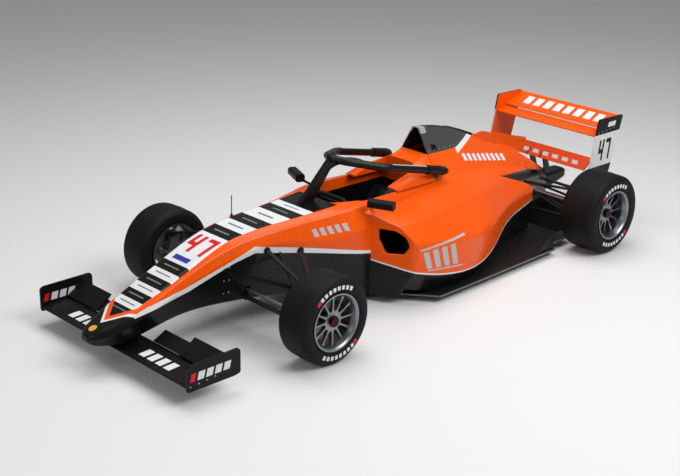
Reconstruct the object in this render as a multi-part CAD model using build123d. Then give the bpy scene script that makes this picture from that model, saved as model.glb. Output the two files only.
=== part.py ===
from build123d import *
import os
from math import atan2, cos, degrees, radians, sin

# Single-seat open wheel racing car, in mm.
# X forward, Y left, Z up, origin on the ground under the middle of the car.
# A station is a distance behind the front axle.

# Overall layout
WHEELBASE = 2750
REAR_AXLE = WHEELBASE
FRONT_OVERHANG = 1135
REAR_OVERHANG = 550
OVERALL_LENGTH = FRONT_OVERHANG + WHEELBASE + REAR_OVERHANG
FRONT_AXLE_X = OVERALL_LENGTH / 2 - FRONT_OVERHANG
SEAT_GAP = 0.3

# Wheels and tyres
FRONT_TYRE_RADIUS = 270
FRONT_TYRE_WIDTH = 235
FRONT_TRACK = 1497
REAR_TYRE_RADIUS = 287.5
REAR_TYRE_WIDTH = 285
REAR_TRACK = 1421
BEAD_RADIUS = 165
FLANGE_HEIGHT = 12
RIM_WALL = 6
WELL_DEPTH = 9
SPOKE_COUNT = 12
SPOKE_ROOT = 10
SPOKE_WAIST = 4.5
SPOKE_FOOT = 11
LIP_RADIUS = 150
SPINDLE_RADIUS = 25
DISC_RADIUS = 118
DISC_THICKNESS = 18
NUT_RADIUS = 34

# Monocoque
NOSE_JOINT = -250
SIDE_START = 800
TUB_REAR = 1640
COCKPIT_FRONT = 650
COCKPIT_REAR = 1430
COCKPIT_HALF = 222
COCKPIT_FLOOR = 78
FOOTWELL_FRONT = 70
FOOTWELL_HALF = 150

# Underfloor
FLOOR_BOTTOM = 42
FLOOR_THICKNESS = 10
FLOOR_TOP = FLOOR_BOTTOM + FLOOR_THICKNESS
PLANK_THICKNESS = 10
PLANK_HALF = 110

# Rear bodywork
SKIN = 6
HOOP_FRONT = 1545
COVER_REAR = WHEELBASE - 110
TAIL_REAR = WHEELBASE + 220
INLET_WALL = 25
FIN_THICKNESS = 10

# Wings
FRONT_WING_HALF = 705
FRONT_PLATE = 12
REAR_WING_HALF = 466
REAR_PLATE = 12

# Steering and front suspension
KINGPIN_Y = 672
UPRIGHT_HALF = 20
STEERING_ARM = 95
TRACK_ROD_Z = 285
STUD_RADIUS = 8
COLUMN_ANGLE = 20
WHEEL_STATION = 800
WHEEL_Z = 565


def x_at(station):
    return FRONT_AXLE_X - station


def across(station):
    return Plane(origin=(x_at(station), 0, 0), x_dir=(0, 1, 0), z_dir=(1, 0, 0))


def along(y=0):
    return Plane(origin=(0, y, 0), x_dir=(1, 0, 0), z_dir=(0, -1, 0))


def both_sides(shape):
    return [shape, mirror(shape, about=Plane.XZ)]


def profile(plane, points, radii):
    return plane * make_face(FilletPolyline(*points, radius=radii, close=True))


def plan(points, low, high):
    outline = make_face(Polyline(*[(x_at(s), y) for s, y in points], close=True))
    return Pos(0, 0, low) * extrude(outline, high - low)


def side_plate(points, radii, y, half):
    outline = profile(along(y), [(x_at(s), z) for s, z in points], radii)
    return extrude(outline, half, both=True)


# Nose and tub: one hull through rounded sections, symmetric about the centre plane.
# Columns: station, top z, half flat, half shoulder, shoulder z,
# half waist, waist z, half foot, foot z, corner radius.
HULL = [
    (-FRONT_OVERHANG, 228, 10, 22, 222, 27, 212, 16, 198, 5),
    (-1112, 244, 34, 50, 236, 60, 215, 44, 180, 11),
    (-1030, 276, 64, 90, 263, 106, 234, 88, 166, 18),
    (-915, 320, 92, 118, 303, 136, 268, 118, 174, 20),
    (-610, 447, 112, 138, 426, 154, 384, 140, 230, 22),
    (-190, 602, 126, 164, 574, 188, 514, 172, 226, 24),
    (60, 632, 140, 184, 606, 212, 544, 192, 196, 26),
    (437, 643, 164, 216, 620, 264, 490, 244, 108, 26),
    (640, 652, 188, 246, 634, 310, 494, 300, 58, 24),
    (SIDE_START, 656, 202, 262, 640, 325, 500, 325, FLOOR_TOP + SEAT_GAP, 24),
]


def hull_section(row, grow=0):
    station, top_z, flat, shoulder, shoulder_z, waist, waist_z, foot, foot_z, corner = row
    half = [
        (flat, top_z + grow),
        (shoulder + grow, shoulder_z + grow),
        (waist + grow, waist_z),
        (foot + grow, foot_z - grow),
    ]
    points = half + [(-y, z) for y, z in reversed(half)]
    return profile(across(station), points, [corner] * len(points))


def hull_loft(grow=0):
    return loft([hull_section(row, grow) for row in HULL])


def tub_prism(start, grow=0):
    face = hull_section((start,) + HULL[-1][1:], grow)
    return extrude(face, TUB_REAR + grow - start, dir=(-1, 0, 0))


def behind(station):
    return plan([(station, -2000), (station, 2000), (6000, 2000), (6000, -2000)], -500, 2000)


hull = hull_loft()
hull_tool = hull_loft(SEAT_GAP)
tub_tool = tub_prism(SIDE_START - 30, SEAT_GAP)

# Cockpit opening, seen from above, and the footwell ahead of it, seen from the side.
cockpit_plan = make_face(
    FilletPolyline(
        (x_at(COCKPIT_FRONT), -120),
        (x_at(COCKPIT_FRONT), 120),
        (x_at(COCKPIT_FRONT + 190), COCKPIT_HALF),
        (x_at(COCKPIT_REAR + 40), COCKPIT_HALF),
        (x_at(COCKPIT_REAR + 40), -COCKPIT_HALF),
        (x_at(COCKPIT_FRONT + 190), -COCKPIT_HALF),
        radius=[60, 60, 120, 25, 25, 120],
        close=True,
    )
)
cockpit = Pos(0, 0, COCKPIT_FLOOR) * extrude(cockpit_plan, 800)
footwell = side_plate(
    [
        (FOOTWELL_FRONT, 260),
        (FOOTWELL_FRONT, 545),
        (720, 560),
        (720, COCKPIT_FLOOR),
        (620, COCKPIT_FLOOR + 20),
    ],
    [30, 30, 0, 0, 0],
    0,
    FOOTWELL_HALF,
)
rack_tunnel = Pos(x_at(-STEERING_ARM), 0, TRACK_ROD_Z) * Rot(90, 0, 0) * Cylinder(24, 800)

tub = hull & behind(NOSE_JOINT + SEAT_GAP)
tub = tub + tub_prism(SIDE_START)
monocoque = tub - cockpit - footwell - rack_tunnel
nose_cone = hull - behind(NOSE_JOINT)

# Rear bodywork: one shell through symmetric sections, cut into sidepods, cover and hoop cowl.
# Columns: station, then (half width, z) of ridge, flank, neck, shoulder, bulge and lip, and half foot.
BODY = [
    (780, (40, 1000), (125, 830), (262, 600), (470, 524), (540, 430), (525, 300), 392),
    (1000, (38, 990), (122, 825), (262, 606), (496, 540), (600, 420), (592, 222), 516),
    (1300, (34, 978), (120, 812), (256, 628), (480, 547), (612, 380), (604, 150), 570),
    (HOOP_FRONT, (30, 965), (118, 800), (238, 660), (440, 545), (592, 360), (585, 126), 555),
    (1865, (27, 906), (100, 778), (195, 638), (365, 534), (490, 350), (485, 152), 460),
    (2150, (24, 786), (80, 694), (150, 592), (265, 505), (360, 358), (356, 222), 332),
    (2400, (22, 690), (66, 618), (120, 542), (196, 470), (276, 358), (272, 246), 252),
    (COVER_REAR, (20, 602), (55, 552), (92, 492), (142, 436), (206, 350), (203, 260), 190),
]
BODY_RADII = [16, 40, 60, 45, 60, 6]


def body_section(row, inset=0):
    station, ridge, flank, neck, shoulder, bulge, lip, foot = row
    half = [ridge, flank, neck, shoulder, bulge, lip]
    base = FLOOR_TOP + SEAT_GAP
    if inset:
        shifts = [(-2, -1), (-0.95, -0.5), (-0.7, -0.9), (-0.6, -0.9), (-1, -0.2), (-1, 0.2)]
        half = [(y + inset * dy, z + inset * dz) for (y, z), (dy, dz) in zip(half, shifts)]
        foot = foot - inset
        base = FLOOR_TOP - 20
    half = half + [(foot, base)]
    points = half + [(-y, z) for y, z in reversed(half)]
    radii = BODY_RADII + [0]
    return profile(across(station), points, radii + radii[::-1])


body_outer = loft([body_section(row) for row in BODY])
body_inner = loft([body_section(row, SKIN) for row in BODY])

# The sidepods' front faces sweep back from the tub and round into the flanks.
FACE_INNER = (815, 325)
FACE_SWEEP = 0.51
FACE_CORNER_Y = 606
FACE_ROUND = 100
MOUTH_ROUND = 10


def face_cut(shift):
    front = [(FACE_INNER[0] + FACE_SWEEP * (y - FACE_INNER[1]) + shift, y) for y in (200, FACE_CORNER_Y)]
    points = front + [(1300 + shift, 640), (6000, 900), (6000, 200)]
    outline = profile(Plane.XY, [(x_at(s), y) for s, y in points], [0, FACE_ROUND, 0, 0, 0])
    return Pos(0, 0, -100) * extrude(outline, 1300)


# Seams in plan between cover and sidepods: a table of (station, half width).
SEAM = [(700, 258), (HOOP_FRONT, 250), (TUB_REAR, 325), (COVER_REAR + 50, 100)]


def seam_prism(grow=0):
    left = [(s, y + grow) for s, y in SEAM]
    return plan(left + [(s, -y) for s, y in reversed(left)], -100, 1200)


skin_rear = body_outer - (body_inner & behind(HOOP_FRONT - 20))
skin_left = body_outer - (body_inner & face_cut(INLET_WALL))
inlet = extrude(
    profile(
        across(1000),
        [(354, 504), (462, 500), (522, 466), (546, 410), (515, 354), (400, 343), (358, 430)],
        [20, 34, 30, 34, 30, 26, 26],
    ),
    260,
    dir=(1, 0, 0),
)
sidepod_left = (skin_left & face_cut(0)) - seam_prism(SEAT_GAP) - tub_tool - inlet
pod_front = max(sidepod_left.faces().filter_by(GeomType.PLANE), key=lambda face: face.normal_at().X)
sidepod_left = fillet([edge for wire in pod_front.inner_wires() for edge in wire.edges()], MOUTH_ROUND)

# Cover and hoop cowl; the cowl's lower edge is drawn from the side.
cowl_prism = side_plate(
    [(HOOP_FRONT - 200, 806), (1863, 786), (2115, 846), (2115, 1200), (HOOP_FRONT - 200, 1200)],
    [0, 0, 0, 0, 0],
    0,
    500,
)
cowl_tool = Pos(0, 0, -SEAT_GAP) * cowl_prism
top_skin = (skin_rear & seam_prism() & behind(HOOP_FRONT)) - tub_tool
roll_hoop = top_skin & cowl_prism
cover = top_skin - cowl_tool

# Tail over the gearbox and the fin on the spine
TAIL = [
    (COVER_REAR - 30, (20, 610), (56, 556), (94, 494), (94, 474)),
    (TAIL_REAR, (10, 404), (26, 396), (34, 384), (34, 374)),
]


def tail_section(row):
    half = list(row[1:])
    points = half + [(-y, z) for y, z in reversed(half)]
    return profile(across(row[0]), points, [6] * len(points))


tail = loft([tail_section(row) for row in TAIL])
fin = side_plate(
    [(2100, 795), (2250, 808), (WHEELBASE + 23, 668), (WHEELBASE - 7, 550), (2640, 592), (2400, 682)],
    [0, 60, 14, 0, 0, 0],
    0,
    FIN_THICKNESS / 2,
)
engine_cover = cover + tail + fin

# Cockpit surround: pads along the rim rising to the block in front of the intake.
SURROUND = [
    (HOOP_FRONT - SEAT_GAP, (112, 797), (178, 727), (226, 690), (248, 657)),
    (1370, (112, 740), (190, 720), (230, 700), (249, 657)),
    (1130, (112, 668), (200, 666), (236, 662), (246, 657)),
]


def surround_section(row):
    half = list(row[1:])
    points = half + [(-y, z) for y, z in reversed(half)]
    return profile(across(row[0]), points, [0] * len(points))


head_space = make_face(
    FilletPolyline(
        (x_at(900), -155),
        (x_at(900), 155),
        (x_at(COCKPIT_REAR), 150),
        (x_at(COCKPIT_REAR), -150),
        radius=[0, 90, 90, 0],
        close=True,
    )
)
cockpit_surround = loft([surround_section(row) for row in SURROUND])
cockpit_surround = cockpit_surround - Pos(0, 0, 500) * extrude(head_space, 600)

# Seat: a bucket drawn from the side, with bolsters
SEAT_BASE = COCKPIT_FLOOR + SEAT_GAP
seat = side_plate(
    [(930, SEAT_BASE), (1205, SEAT_BASE), (1456, 520), (1420, 534), (1170, 120), (930, 110)],
    [6, 30, 8, 8, 60, 8],
    0,
    200,
)
bolsters = side_plate(
    [(960, SEAT_BASE), (1205, SEAT_BASE), (1456, 520), (1390, 540), (1120, 240), (960, 170)],
    [6, 30, 8, 40, 60, 30],
    0,
    214,
)
bolsters = bolsters - side_plate([(900, 60), (1500, 60), (1500, 700), (900, 700)], [0] * 4, 0, 185)
seat = seat + bolsters

# Halo: an inclined hoop on a centre pillar and two rear feet
HALO_TUBE = 26
HALO_REAR = 1508
HALO_REAR_Z = 728
HALO_TILT = 12.6
SLEEVE_RADIUS = 32
SLEEVE_LENGTH = 150
SLEEVE_TAIL = 32
HALO_FOOT_Y = 228
HALO_FOOT = 66
FOOT_ALIGN = (Align.CENTER, Align.CENTER, Align.MAX)
PILLAR_HALF = 15
HALO_PLAN = [(0, 258), (490, 236), (722, 86), (772, 0), (722, -86), (490, -236), (0, -258)]
halo_plane = Plane(
    origin=(x_at(HALO_REAR), 0, HALO_REAR_Z),
    x_dir=(cos(radians(HALO_TILT)), 0, sin(radians(HALO_TILT))),
    z_dir=(-sin(radians(HALO_TILT)), 0, cos(radians(HALO_TILT))),
)
halo_path = halo_plane * FilletPolyline(*HALO_PLAN, radius=[160, 120, 40, 120, 160])
halo_hoop = sweep(Plane(halo_path @ 0, z_dir=halo_path % 0) * Circle(HALO_TUBE), path=halo_path)
PILLAR_BASE = 470
PILLAR_TOP = (HALO_REAR - 767 * cos(radians(HALO_TILT)), HALO_REAR_Z + 767 * sin(radians(HALO_TILT)))
pillar = side_plate(
    [
        (PILLAR_BASE - 40, 600),
        (PILLAR_BASE + 90, 600),
        (PILLAR_TOP[0] + 30, PILLAR_TOP[1]),
        (PILLAR_TOP[0] - 32, PILLAR_TOP[1]),
    ],
    [0, 0, 0, 0],
    0,
    PILLAR_HALF,
)
# A curved brace on each side blends the pillar's head into the arm.
BRACE_RADIUS = 19
BRACE_ON_ARM = (610, 158.5)
BRACE_DROP = 0.3
BRACE_BEND = 0.62
pillar_foot = Vector(x_at(PILLAR_BASE + 25), 0, 600)
crown = Vector(x_at(PILLAR_TOP[0]), 0, PILLAR_TOP[1])
on_arm = halo_plane.from_local_coords(Vector(*BRACE_ON_ARM))
on_pillar = crown + (pillar_foot - crown) * BRACE_DROP
brace_mid = (on_arm + on_pillar) * ((1 - BRACE_BEND) / 2) + crown * BRACE_BEND
brace_path = ThreePointArc(on_pillar, brace_mid, on_arm)
brace = sweep(Plane(brace_path @ 0, z_dir=brace_path % 0) * Circle(BRACE_RADIUS), path=brace_path)
sleeve_at = Plane(halo_path @ 0, z_dir=halo_path % 0) * Pos(0, 0, SLEEVE_LENGTH / 2 - SLEEVE_TAIL)
sleeve = sleeve_at * Cylinder(SLEEVE_RADIUS, SLEEVE_LENGTH)
sleeve = fillet(sleeve.edges().sort_by(Axis.X)[0], SLEEVE_RADIUS / 2)
foot = Pos(x_at(HALO_REAR), HALO_FOOT_Y, HALO_REAR_Z) * Cylinder(18, HALO_FOOT, align=FOOT_ALIGN)
halo = halo_hoop + pillar + both_sides(brace) + both_sides(sleeve + foot)
halo = halo - hull_tool - tub_tool - cockpit_surround - Pos(0, 0, SEAT_GAP) * cockpit_surround

# Floor, plank and diffuser
FLOOR_REAR = REAR_AXLE - 60
FLOOR_FIN_Y = 598
FLOOR_FIN_HALF = 4
floor_half = [(806, 200), (830, 285), (1140, 655), (1580, 648), (2400, 618), (2425, 545), (FLOOR_REAR, 520)]
floor_plan = floor_half + [(s, -y) for s, y in reversed(floor_half)]
floor_fin = side_plate(
    [(2215, FLOOR_BOTTOM), (2396, FLOOR_BOTTOM), (2398, 132), (2366, 140)],
    [0, 0, 8, 20],
    FLOOR_FIN_Y,
    FLOOR_FIN_HALF,
)
floor = plan(floor_plan, FLOOR_BOTTOM, FLOOR_TOP) + both_sides(floor_fin)
skid_plank = plan(
    [(830, 60), (870, PLANK_HALF), (2560, PLANK_HALF), (2560, -PLANK_HALF), (870, -PLANK_HALF), (830, -60)],
    FLOOR_BOTTOM - PLANK_THICKNESS,
    FLOOR_BOTTOM,
)
DIFFUSER = (FLOOR_REAR + SEAT_GAP, REAR_AXLE + 320)
DIFFUSER_HALF = 400
DIFFUSER_RISE = 130
diffuser_roof = side_plate(
    [
        (DIFFUSER[0], FLOOR_BOTTOM),
        (DIFFUSER[0], FLOOR_TOP),
        (DIFFUSER[1], FLOOR_TOP + DIFFUSER_RISE),
        (DIFFUSER[1], FLOOR_BOTTOM + DIFFUSER_RISE),
    ],
    [0] * 4,
    0,
    DIFFUSER_HALF,
)
strakes = [
    side_plate(
        [
            (DIFFUSER[0], FLOOR_BOTTOM),
            (DIFFUSER[0], FLOOR_TOP),
            (DIFFUSER[1], FLOOR_TOP + DIFFUSER_RISE),
            (DIFFUSER[1], 60),
        ],
        [0] * 4,
        y,
        4,
    )
    for y in (-396, -200, 0, 200, 396)
]
diffuser = diffuser_roof + strakes

# Radiators behind the inlets
radiator = plan([(1110, 345), (1190, 515), (1225, 500), (1145, 332)], FLOOR_TOP + SEAT_GAP, 440)
radiators = both_sides(radiator)

# Power unit: engine and gearbox as plain blocks, then the rear crash structure and light
ENGINE_FRONT = TUB_REAR + SEAT_GAP
ENGINE_REAR = 2210
engine_block = plan(
    [(ENGINE_FRONT, 170), (ENGINE_REAR, 150), (ENGINE_REAR, -150), (ENGINE_FRONT, -170)],
    FLOOR_TOP + SEAT_GAP,
    520,
)
GEARBOX = [
    (ENGINE_REAR + SEAT_GAP, 140, FLOOR_TOP + SEAT_GAP, 430),
    (WHEELBASE - 110, 112, 120, 380),
    (WHEELBASE + 190, 96, 210, 364),
]


def box_section(row):
    station, half, low, high = row
    points = [(half, low), (half, high), (-half, high), (-half, low)]
    return profile(across(station), points, [24] * 4)


gearbox = loft([box_section(row) for row in GEARBOX], ruled=True)
CRASH_REAR = WHEELBASE + 470
crash_structure = loft(
    [
        box_section((WHEELBASE + 190 + SEAT_GAP, 90, 230, 360)),
        box_section((CRASH_REAR, 55, 270, 350)),
    ],
    ruled=True,
)
LIGHT_FRONT = CRASH_REAR + SEAT_GAP
LIGHT_REAR = LIGHT_FRONT + 24
LIGHT_HALF = 45
light_plan = [(LIGHT_FRONT, LIGHT_HALF), (LIGHT_REAR, LIGHT_HALF)]
light_plan = light_plan + [(s, -y) for s, y in reversed(light_plan)]
rain_light = plan(light_plan, 285, 335)


# Wing sections: an upper and a lower arc from a rounded nose to a thin tail, drawn from the side.
def aerofoil(nose, tail_end, thick, sag, half, y=0):
    run = (tail_end[0] - nose[0], tail_end[1] - nose[1])
    length = (run[0] ** 2 + run[1] ** 2) ** 0.5
    turn = degrees(atan2(run[1], run[0]))
    upper = ThreePointArc((3, thick * 0.25), (length * 0.42, thick / 2 - sag), (length, 1.2))
    end = Line((length, 1.2), (length, -1.2))
    lower = ThreePointArc((length, -1.2), (length * 0.42, -thick / 2 - sag), (3, -thick * 0.25))
    tip = ThreePointArc((3, -thick * 0.25), (0, 0), (3, thick * 0.25))
    face = make_face([upper, end, lower, tip])
    place = Plane(origin=(x_at(nose[0]), y, nose[1]), x_dir=(-1, 0, 0), z_dir=(0, 1, 0))
    return extrude(place * Rot(0, 0, turn) * face, half, both=True)


front_main = aerofoil((-968, 118), (-765, 132), 26, 6, FRONT_WING_HALF - SEAT_GAP)
PYLON_Y = 60
pylon = side_plate([(-935, 118), (-935, 260), (-815, 260), (-815, 128)], [0] * 4, PYLON_Y, 5)
front_wing_mainplane = front_main + both_sides(pylon) - hull_tool
FLAP_STEP = 402
FLAP_TIP = FRONT_WING_HALF - SEAT_GAP
INNER_FLAP_HALF = 120
OUTER_FLAP_HALF = (FLAP_TIP - FLAP_STEP) / 2
inner_flap = aerofoil((-778, 146), (-692, 192), 12, 4, INNER_FLAP_HALF, FLAP_STEP - INNER_FLAP_HALF)
outer_flap = aerofoil((-782, 146), (-668, 222), 14, 5, OUTER_FLAP_HALF, FLAP_STEP + OUTER_FLAP_HALF)
front_wing_flaps = both_sides(inner_flap + outer_flap)
front_plate = side_plate(
    [(-970, 92), (-972, 236), (-950, 250), (-600, 252), (-597, 100), (-640, 92)],
    [14, 16, 30, 26, 16, 30],
    FRONT_WING_HALF + FRONT_PLATE / 2,
    FRONT_PLATE / 2,
)
front_wing_endplates = both_sides(front_plate)


def aft(*points):
    return [(REAR_AXLE + back, z) for back, z in points]


# Rear wing planes. Columns: nose and tail as (distance behind the rear axle, z), thickness, sag.
REAR_PLANES = {
    "mainplane": ((242, 732), (356, 758), 20, 8),
    "flap": ((346, 772), (REAR_OVERHANG, 842), 16, 8),
    "beam": ((128, 500), (206, 582), 16, 8),
}
rear_planes = {}
for plane_name, (nose, tail_end, thick, sag) in REAR_PLANES.items():
    rear_planes[plane_name] = aerofoil(*aft(nose, tail_end), thick, sag, REAR_WING_HALF - SEAT_GAP)
BEAM_POST_Y = 60
beam_post = side_plate(aft((215, 340), (290, 330), (196, 560), (160, 530)), [0] * 4, BEAM_POST_Y, 5)
rear_wing_beam = rear_planes["beam"] + both_sides(beam_post) - Pos(0, 0, SEAT_GAP) * crash_structure
rear_plate = side_plate(
    aft((252, 862), (REAR_OVERHANG, 856), (428, 436), (170, 436)),
    [20, 16, 24, 30],
    REAR_WING_HALF + REAR_PLATE / 2,
    REAR_PLATE / 2,
)
rear_wing_endplates = both_sides(rear_plate)

# Mirrors on bent stalks
MIRROR = (822, 394, 676)
MIRROR_SWEEP = 24
MIRROR_DEPTH = 64
MIRROR_WIDTH = 170
MIRROR_HEIGHT = 54
GLASS_WIDTH = 152
GLASS_HEIGHT = 40
mirror_at = Pos(x_at(MIRROR[0]), MIRROR[1], MIRROR[2]) * Rot(0, 0, MIRROR_SWEEP)
housing = fillet(Box(MIRROR_DEPTH, MIRROR_WIDTH, MIRROR_HEIGHT).edges().filter_by(Axis.Y), 18)
pocket = Pos(-MIRROR_DEPTH / 2, 0, 0) * Box(8, GLASS_WIDTH, GLASS_HEIGHT)
stalk_path = FilletPolyline(
    (x_at(866), 240, 622), (x_at(850), 322, 634), (x_at(MIRROR[0] - 20), 346, 668), radius=[24]
)
stalk = sweep(Plane(stalk_path @ 0, z_dir=stalk_path % 0) * Circle(8), path=stalk_path)
mirror_housings = both_sides(mirror_at * housing + stalk - mirror_at * pocket - tub_tool)
glass = Pos(2 - MIRROR_DEPTH / 2, 0, 0) * Box(3, GLASS_WIDTH - 2 * SEAT_GAP, GLASS_HEIGHT - 2 * SEAT_GAP)
mirror_glasses = both_sides(mirror_at * glass)

# Radio antenna on the right shoulder of the tub
antenna = Pos(x_at(60), -150, 680) * Cylinder(3, 160) + Pos(x_at(60), -150, 622) * Cylinder(9, 30)
radio_antenna = antenna - hull_tool


# Suspension: flat-sided streamlined struts between two points
def strut(start, end, chord, thick):
    a = Vector(*start)
    b = Vector(*end)
    face = Plane(origin=a, x_dir=(1, 0, 0), z_dir=b - a) * SlotOverall(chord, thick)
    return extrude(face, (b - a).length)


def point(station, y, z):
    return (x_at(station), y, z)


BORE = STUD_RADIUS + SEAT_GAP


def wishbone(ball, fore, aft, chord):
    legs = strut(point(*fore), point(*ball), chord, 14) + strut(point(*aft), point(*ball), chord, 14)
    boss = Pos(*point(*ball)) * Cylinder(18, 24)
    return legs + boss - Pos(*point(*ball)) * Cylinder(BORE, 60)


# Shoes: thin pads that follow the tub around each arm's inboard end.
SHOE = 8
SHOE_RADIUS = 21
shoe_shell = hull_loft(SHOE) - hull_tool


def shoe(inboard, outboard):
    a = Vector(*point(*inboard))
    reach = Plane(origin=a, z_dir=Vector(*point(*outboard)) - a) * Cylinder(SHOE_RADIUS, 240)
    return reach & shoe_shell


def tub_arm(ball, fore, aft, chord):
    arm = wishbone(ball, fore, aft, chord) - hull_tool
    return arm + shoe(fore, ball) + shoe(aft, ball)


FRONT_UPPER_Z = 378
FRONT_LOWER_Z = 162
front_upper = tub_arm((0, KINGPIN_Y, FRONT_UPPER_Z), (40, 150, 528), (330, 170, 470), 34)
front_lower = tub_arm((0, KINGPIN_Y, FRONT_LOWER_Z), (-110, 130, 246), (300, 150, 206), 38)
front_wishbones = both_sides(front_upper) + both_sides(front_lower)
front_pushrod = strut(point(44, 596, 170), point(150, 150, 520), 24, 16)
front_pushrod = front_pushrod - hull_tool - front_lower - Pos(0, 0, SEAT_GAP) * front_lower
front_pushrods = both_sides(front_pushrod)

REAR_BALL_Y = 612
REAR_UPPER_Z = 398
REAR_LOWER_Z = 178


def behind_axle(back, y, z):
    return (REAR_AXLE + back, y, z)


ARM_ROOT_Y = 60
# Columns: ball z, fore root (distance behind the axle, z), aft root, chord.
REAR_ARMS = [(REAR_UPPER_Z, (-90, 366), (120, 352), 34), (REAR_LOWER_Z, (-90, 186), (130, 236), 38)]
gearbox_tool = loft([box_section((s, h + SEAT_GAP, lo, hi)) for s, h, lo, hi in GEARBOX], ruled=True)
rear_arms = []
for ball_z, fore, rear, chord in REAR_ARMS:
    ball = behind_axle(0, REAR_BALL_Y, ball_z)
    roots = [behind_axle(back, ARM_ROOT_Y, z) for back, z in (fore, rear)]
    rear_arms.append(wishbone(ball, *roots, chord) - gearbox_tool)
toe_end = REAR_BALL_Y - UPRIGHT_HALF - SEAT_GAP
toe_link = strut(point(*behind_axle(84, 600, 276)), point(*behind_axle(150, ARM_ROOT_Y, 290)), 24, 14)
toe_link = toe_link & Pos(x_at(REAR_AXLE), 0, 0) * Box(600, 2 * toe_end, 1000)
rear_links = rear_arms + [toe_link - gearbox_tool]
rear_wishbones = [side for link in rear_links for side in both_sides(link)]
rear_pushrod = strut(point(*behind_axle(-20, 540, 180)), point(*behind_axle(-62, 70, 330)), 24, 16)
rear_pushrod = rear_pushrod - gearbox_tool - rear_arms[1] - Pos(0, 0, SEAT_GAP) * rear_arms[1]
rear_pushrods = both_sides(rear_pushrod)


# Corner pieces are drawn about the wheel centre, outboard along +Y.
# Columns: name, radius, tyre width, rim half width, rim face offset, upright y, disc y.
def tyre(radius, width, rim_half):
    bead = rim_half - 10
    half = width / 2
    points = [
        (BEAD_RADIUS + SEAT_GAP, bead - SEAT_GAP),
        (BEAD_RADIUS + FLANGE_HEIGHT + 2, bead - SEAT_GAP),
        (BEAD_RADIUS + 32, half),
        (radius - 32, half - 2),
        (radius - 4, half - 22),
        (radius, 0),
    ]
    section = points + [(r, -y) for r, y in reversed(points[:-1])]
    radii = [0, 6, 30, 40, 30, 0, 30, 40, 30, 6, 0]
    return revolve(profile(Plane.XY, section, radii), Axis.Y)


def rim(rim_half, face_y):
    outer = [
        (BEAD_RADIUS + FLANGE_HEIGHT, rim_half),
        (BEAD_RADIUS + FLANGE_HEIGHT, rim_half - 9),
        (BEAD_RADIUS, rim_half - 10),
        (BEAD_RADIUS, rim_half - 40),
        (BEAD_RADIUS - WELL_DEPTH, rim_half - 55),
        (BEAD_RADIUS - WELL_DEPTH, 55 - rim_half),
        (BEAD_RADIUS, 40 - rim_half),
        (BEAD_RADIUS, 10 - rim_half),
        (BEAD_RADIUS + FLANGE_HEIGHT, 9 - rim_half),
        (BEAD_RADIUS + FLANGE_HEIGHT, -rim_half),
    ]
    inner = [(r - RIM_WALL, y) for r, y in reversed(outer[4:8])]
    lip = [(LIP_RADIUS, rim_half - 38), (BEAD_RADIUS - 5, rim_half - 10), (BEAD_RADIUS + 3, rim_half)]
    bore = [(BEAD_RADIUS + 3, -rim_half)] + inner + lip
    barrel = revolve(make_face(Polyline(*(outer + bore), close=True)), Axis.Y)
    centre = Pos(0, face_y + 15, 0) * Rot(90, 0, 0) * (Cylinder(62, 30) - Cylinder(30 + SEAT_GAP, 60))
    well = BEAD_RADIUS - WELL_DEPTH - 2
    from_side = [(56, face_y + 2), (well, face_y + 12), (well, face_y + 30), (56, face_y + 29)]
    half = [(50, SPOKE_ROOT), (84, SPOKE_WAIST), (124, SPOKE_WAIST), (well + 5, SPOKE_FOOT)]
    from_front = half + [(r, -z) for r, z in reversed(half)]
    bends = [0, 40, 30, 0, 0, 30, 40, 0]
    spoke = extrude(make_face(Polyline(*from_side, close=True)), 2 * SPOKE_FOOT, both=True)
    spoke = spoke & extrude(profile(Plane.XZ, from_front, bends), 2 * rim_half, both=True)
    spokes = [Rot(0, 360 / SPOKE_COUNT * k, 0) * spoke for k in range(SPOKE_COUNT)]
    return barrel + centre + spokes


def hub(face_y, disc_y, inboard_y):
    outline = [
        (0, inboard_y),
        (SPINDLE_RADIUS, inboard_y),
        (SPINDLE_RADIUS, disc_y - 6),
        (52, disc_y - 6),
        (52, disc_y),
        (DISC_RADIUS, disc_y),
        (DISC_RADIUS, disc_y + DISC_THICKNESS),
        (52, disc_y + DISC_THICKNESS),
        (52, face_y - SEAT_GAP),
        (30, face_y - SEAT_GAP),
        (30, face_y + 50),
        (0, face_y + 50),
    ]
    turned = revolve(make_face(Polyline(*outline, close=True)), Axis.Y)
    nut_face = Plane(origin=(0, face_y + 30 + SEAT_GAP, 0), x_dir=(1, 0, 0), z_dir=(0, 1, 0))
    nut = extrude(nut_face * RegularPolygon(NUT_RADIUS, 6), 16)
    return turned + nut


def caliper(disc_y, side):
    reach = side * (DISC_RADIUS - 2)
    mid_y = disc_y + DISC_THICKNESS / 2
    block = Pos(reach, mid_y, 0) * Box(48, DISC_THICKNESS + 42, 96)
    slot = Pos(0, mid_y, 0) * Rot(90, 0, 0) * Cylinder(DISC_RADIUS + 5, DISC_THICKNESS + 12)
    ring = Rot(90, 0, 0) * Cylinder(BEAD_RADIUS - WELL_DEPTH - RIM_WALL - 8, 600)
    return (block & ring) - slot


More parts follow.
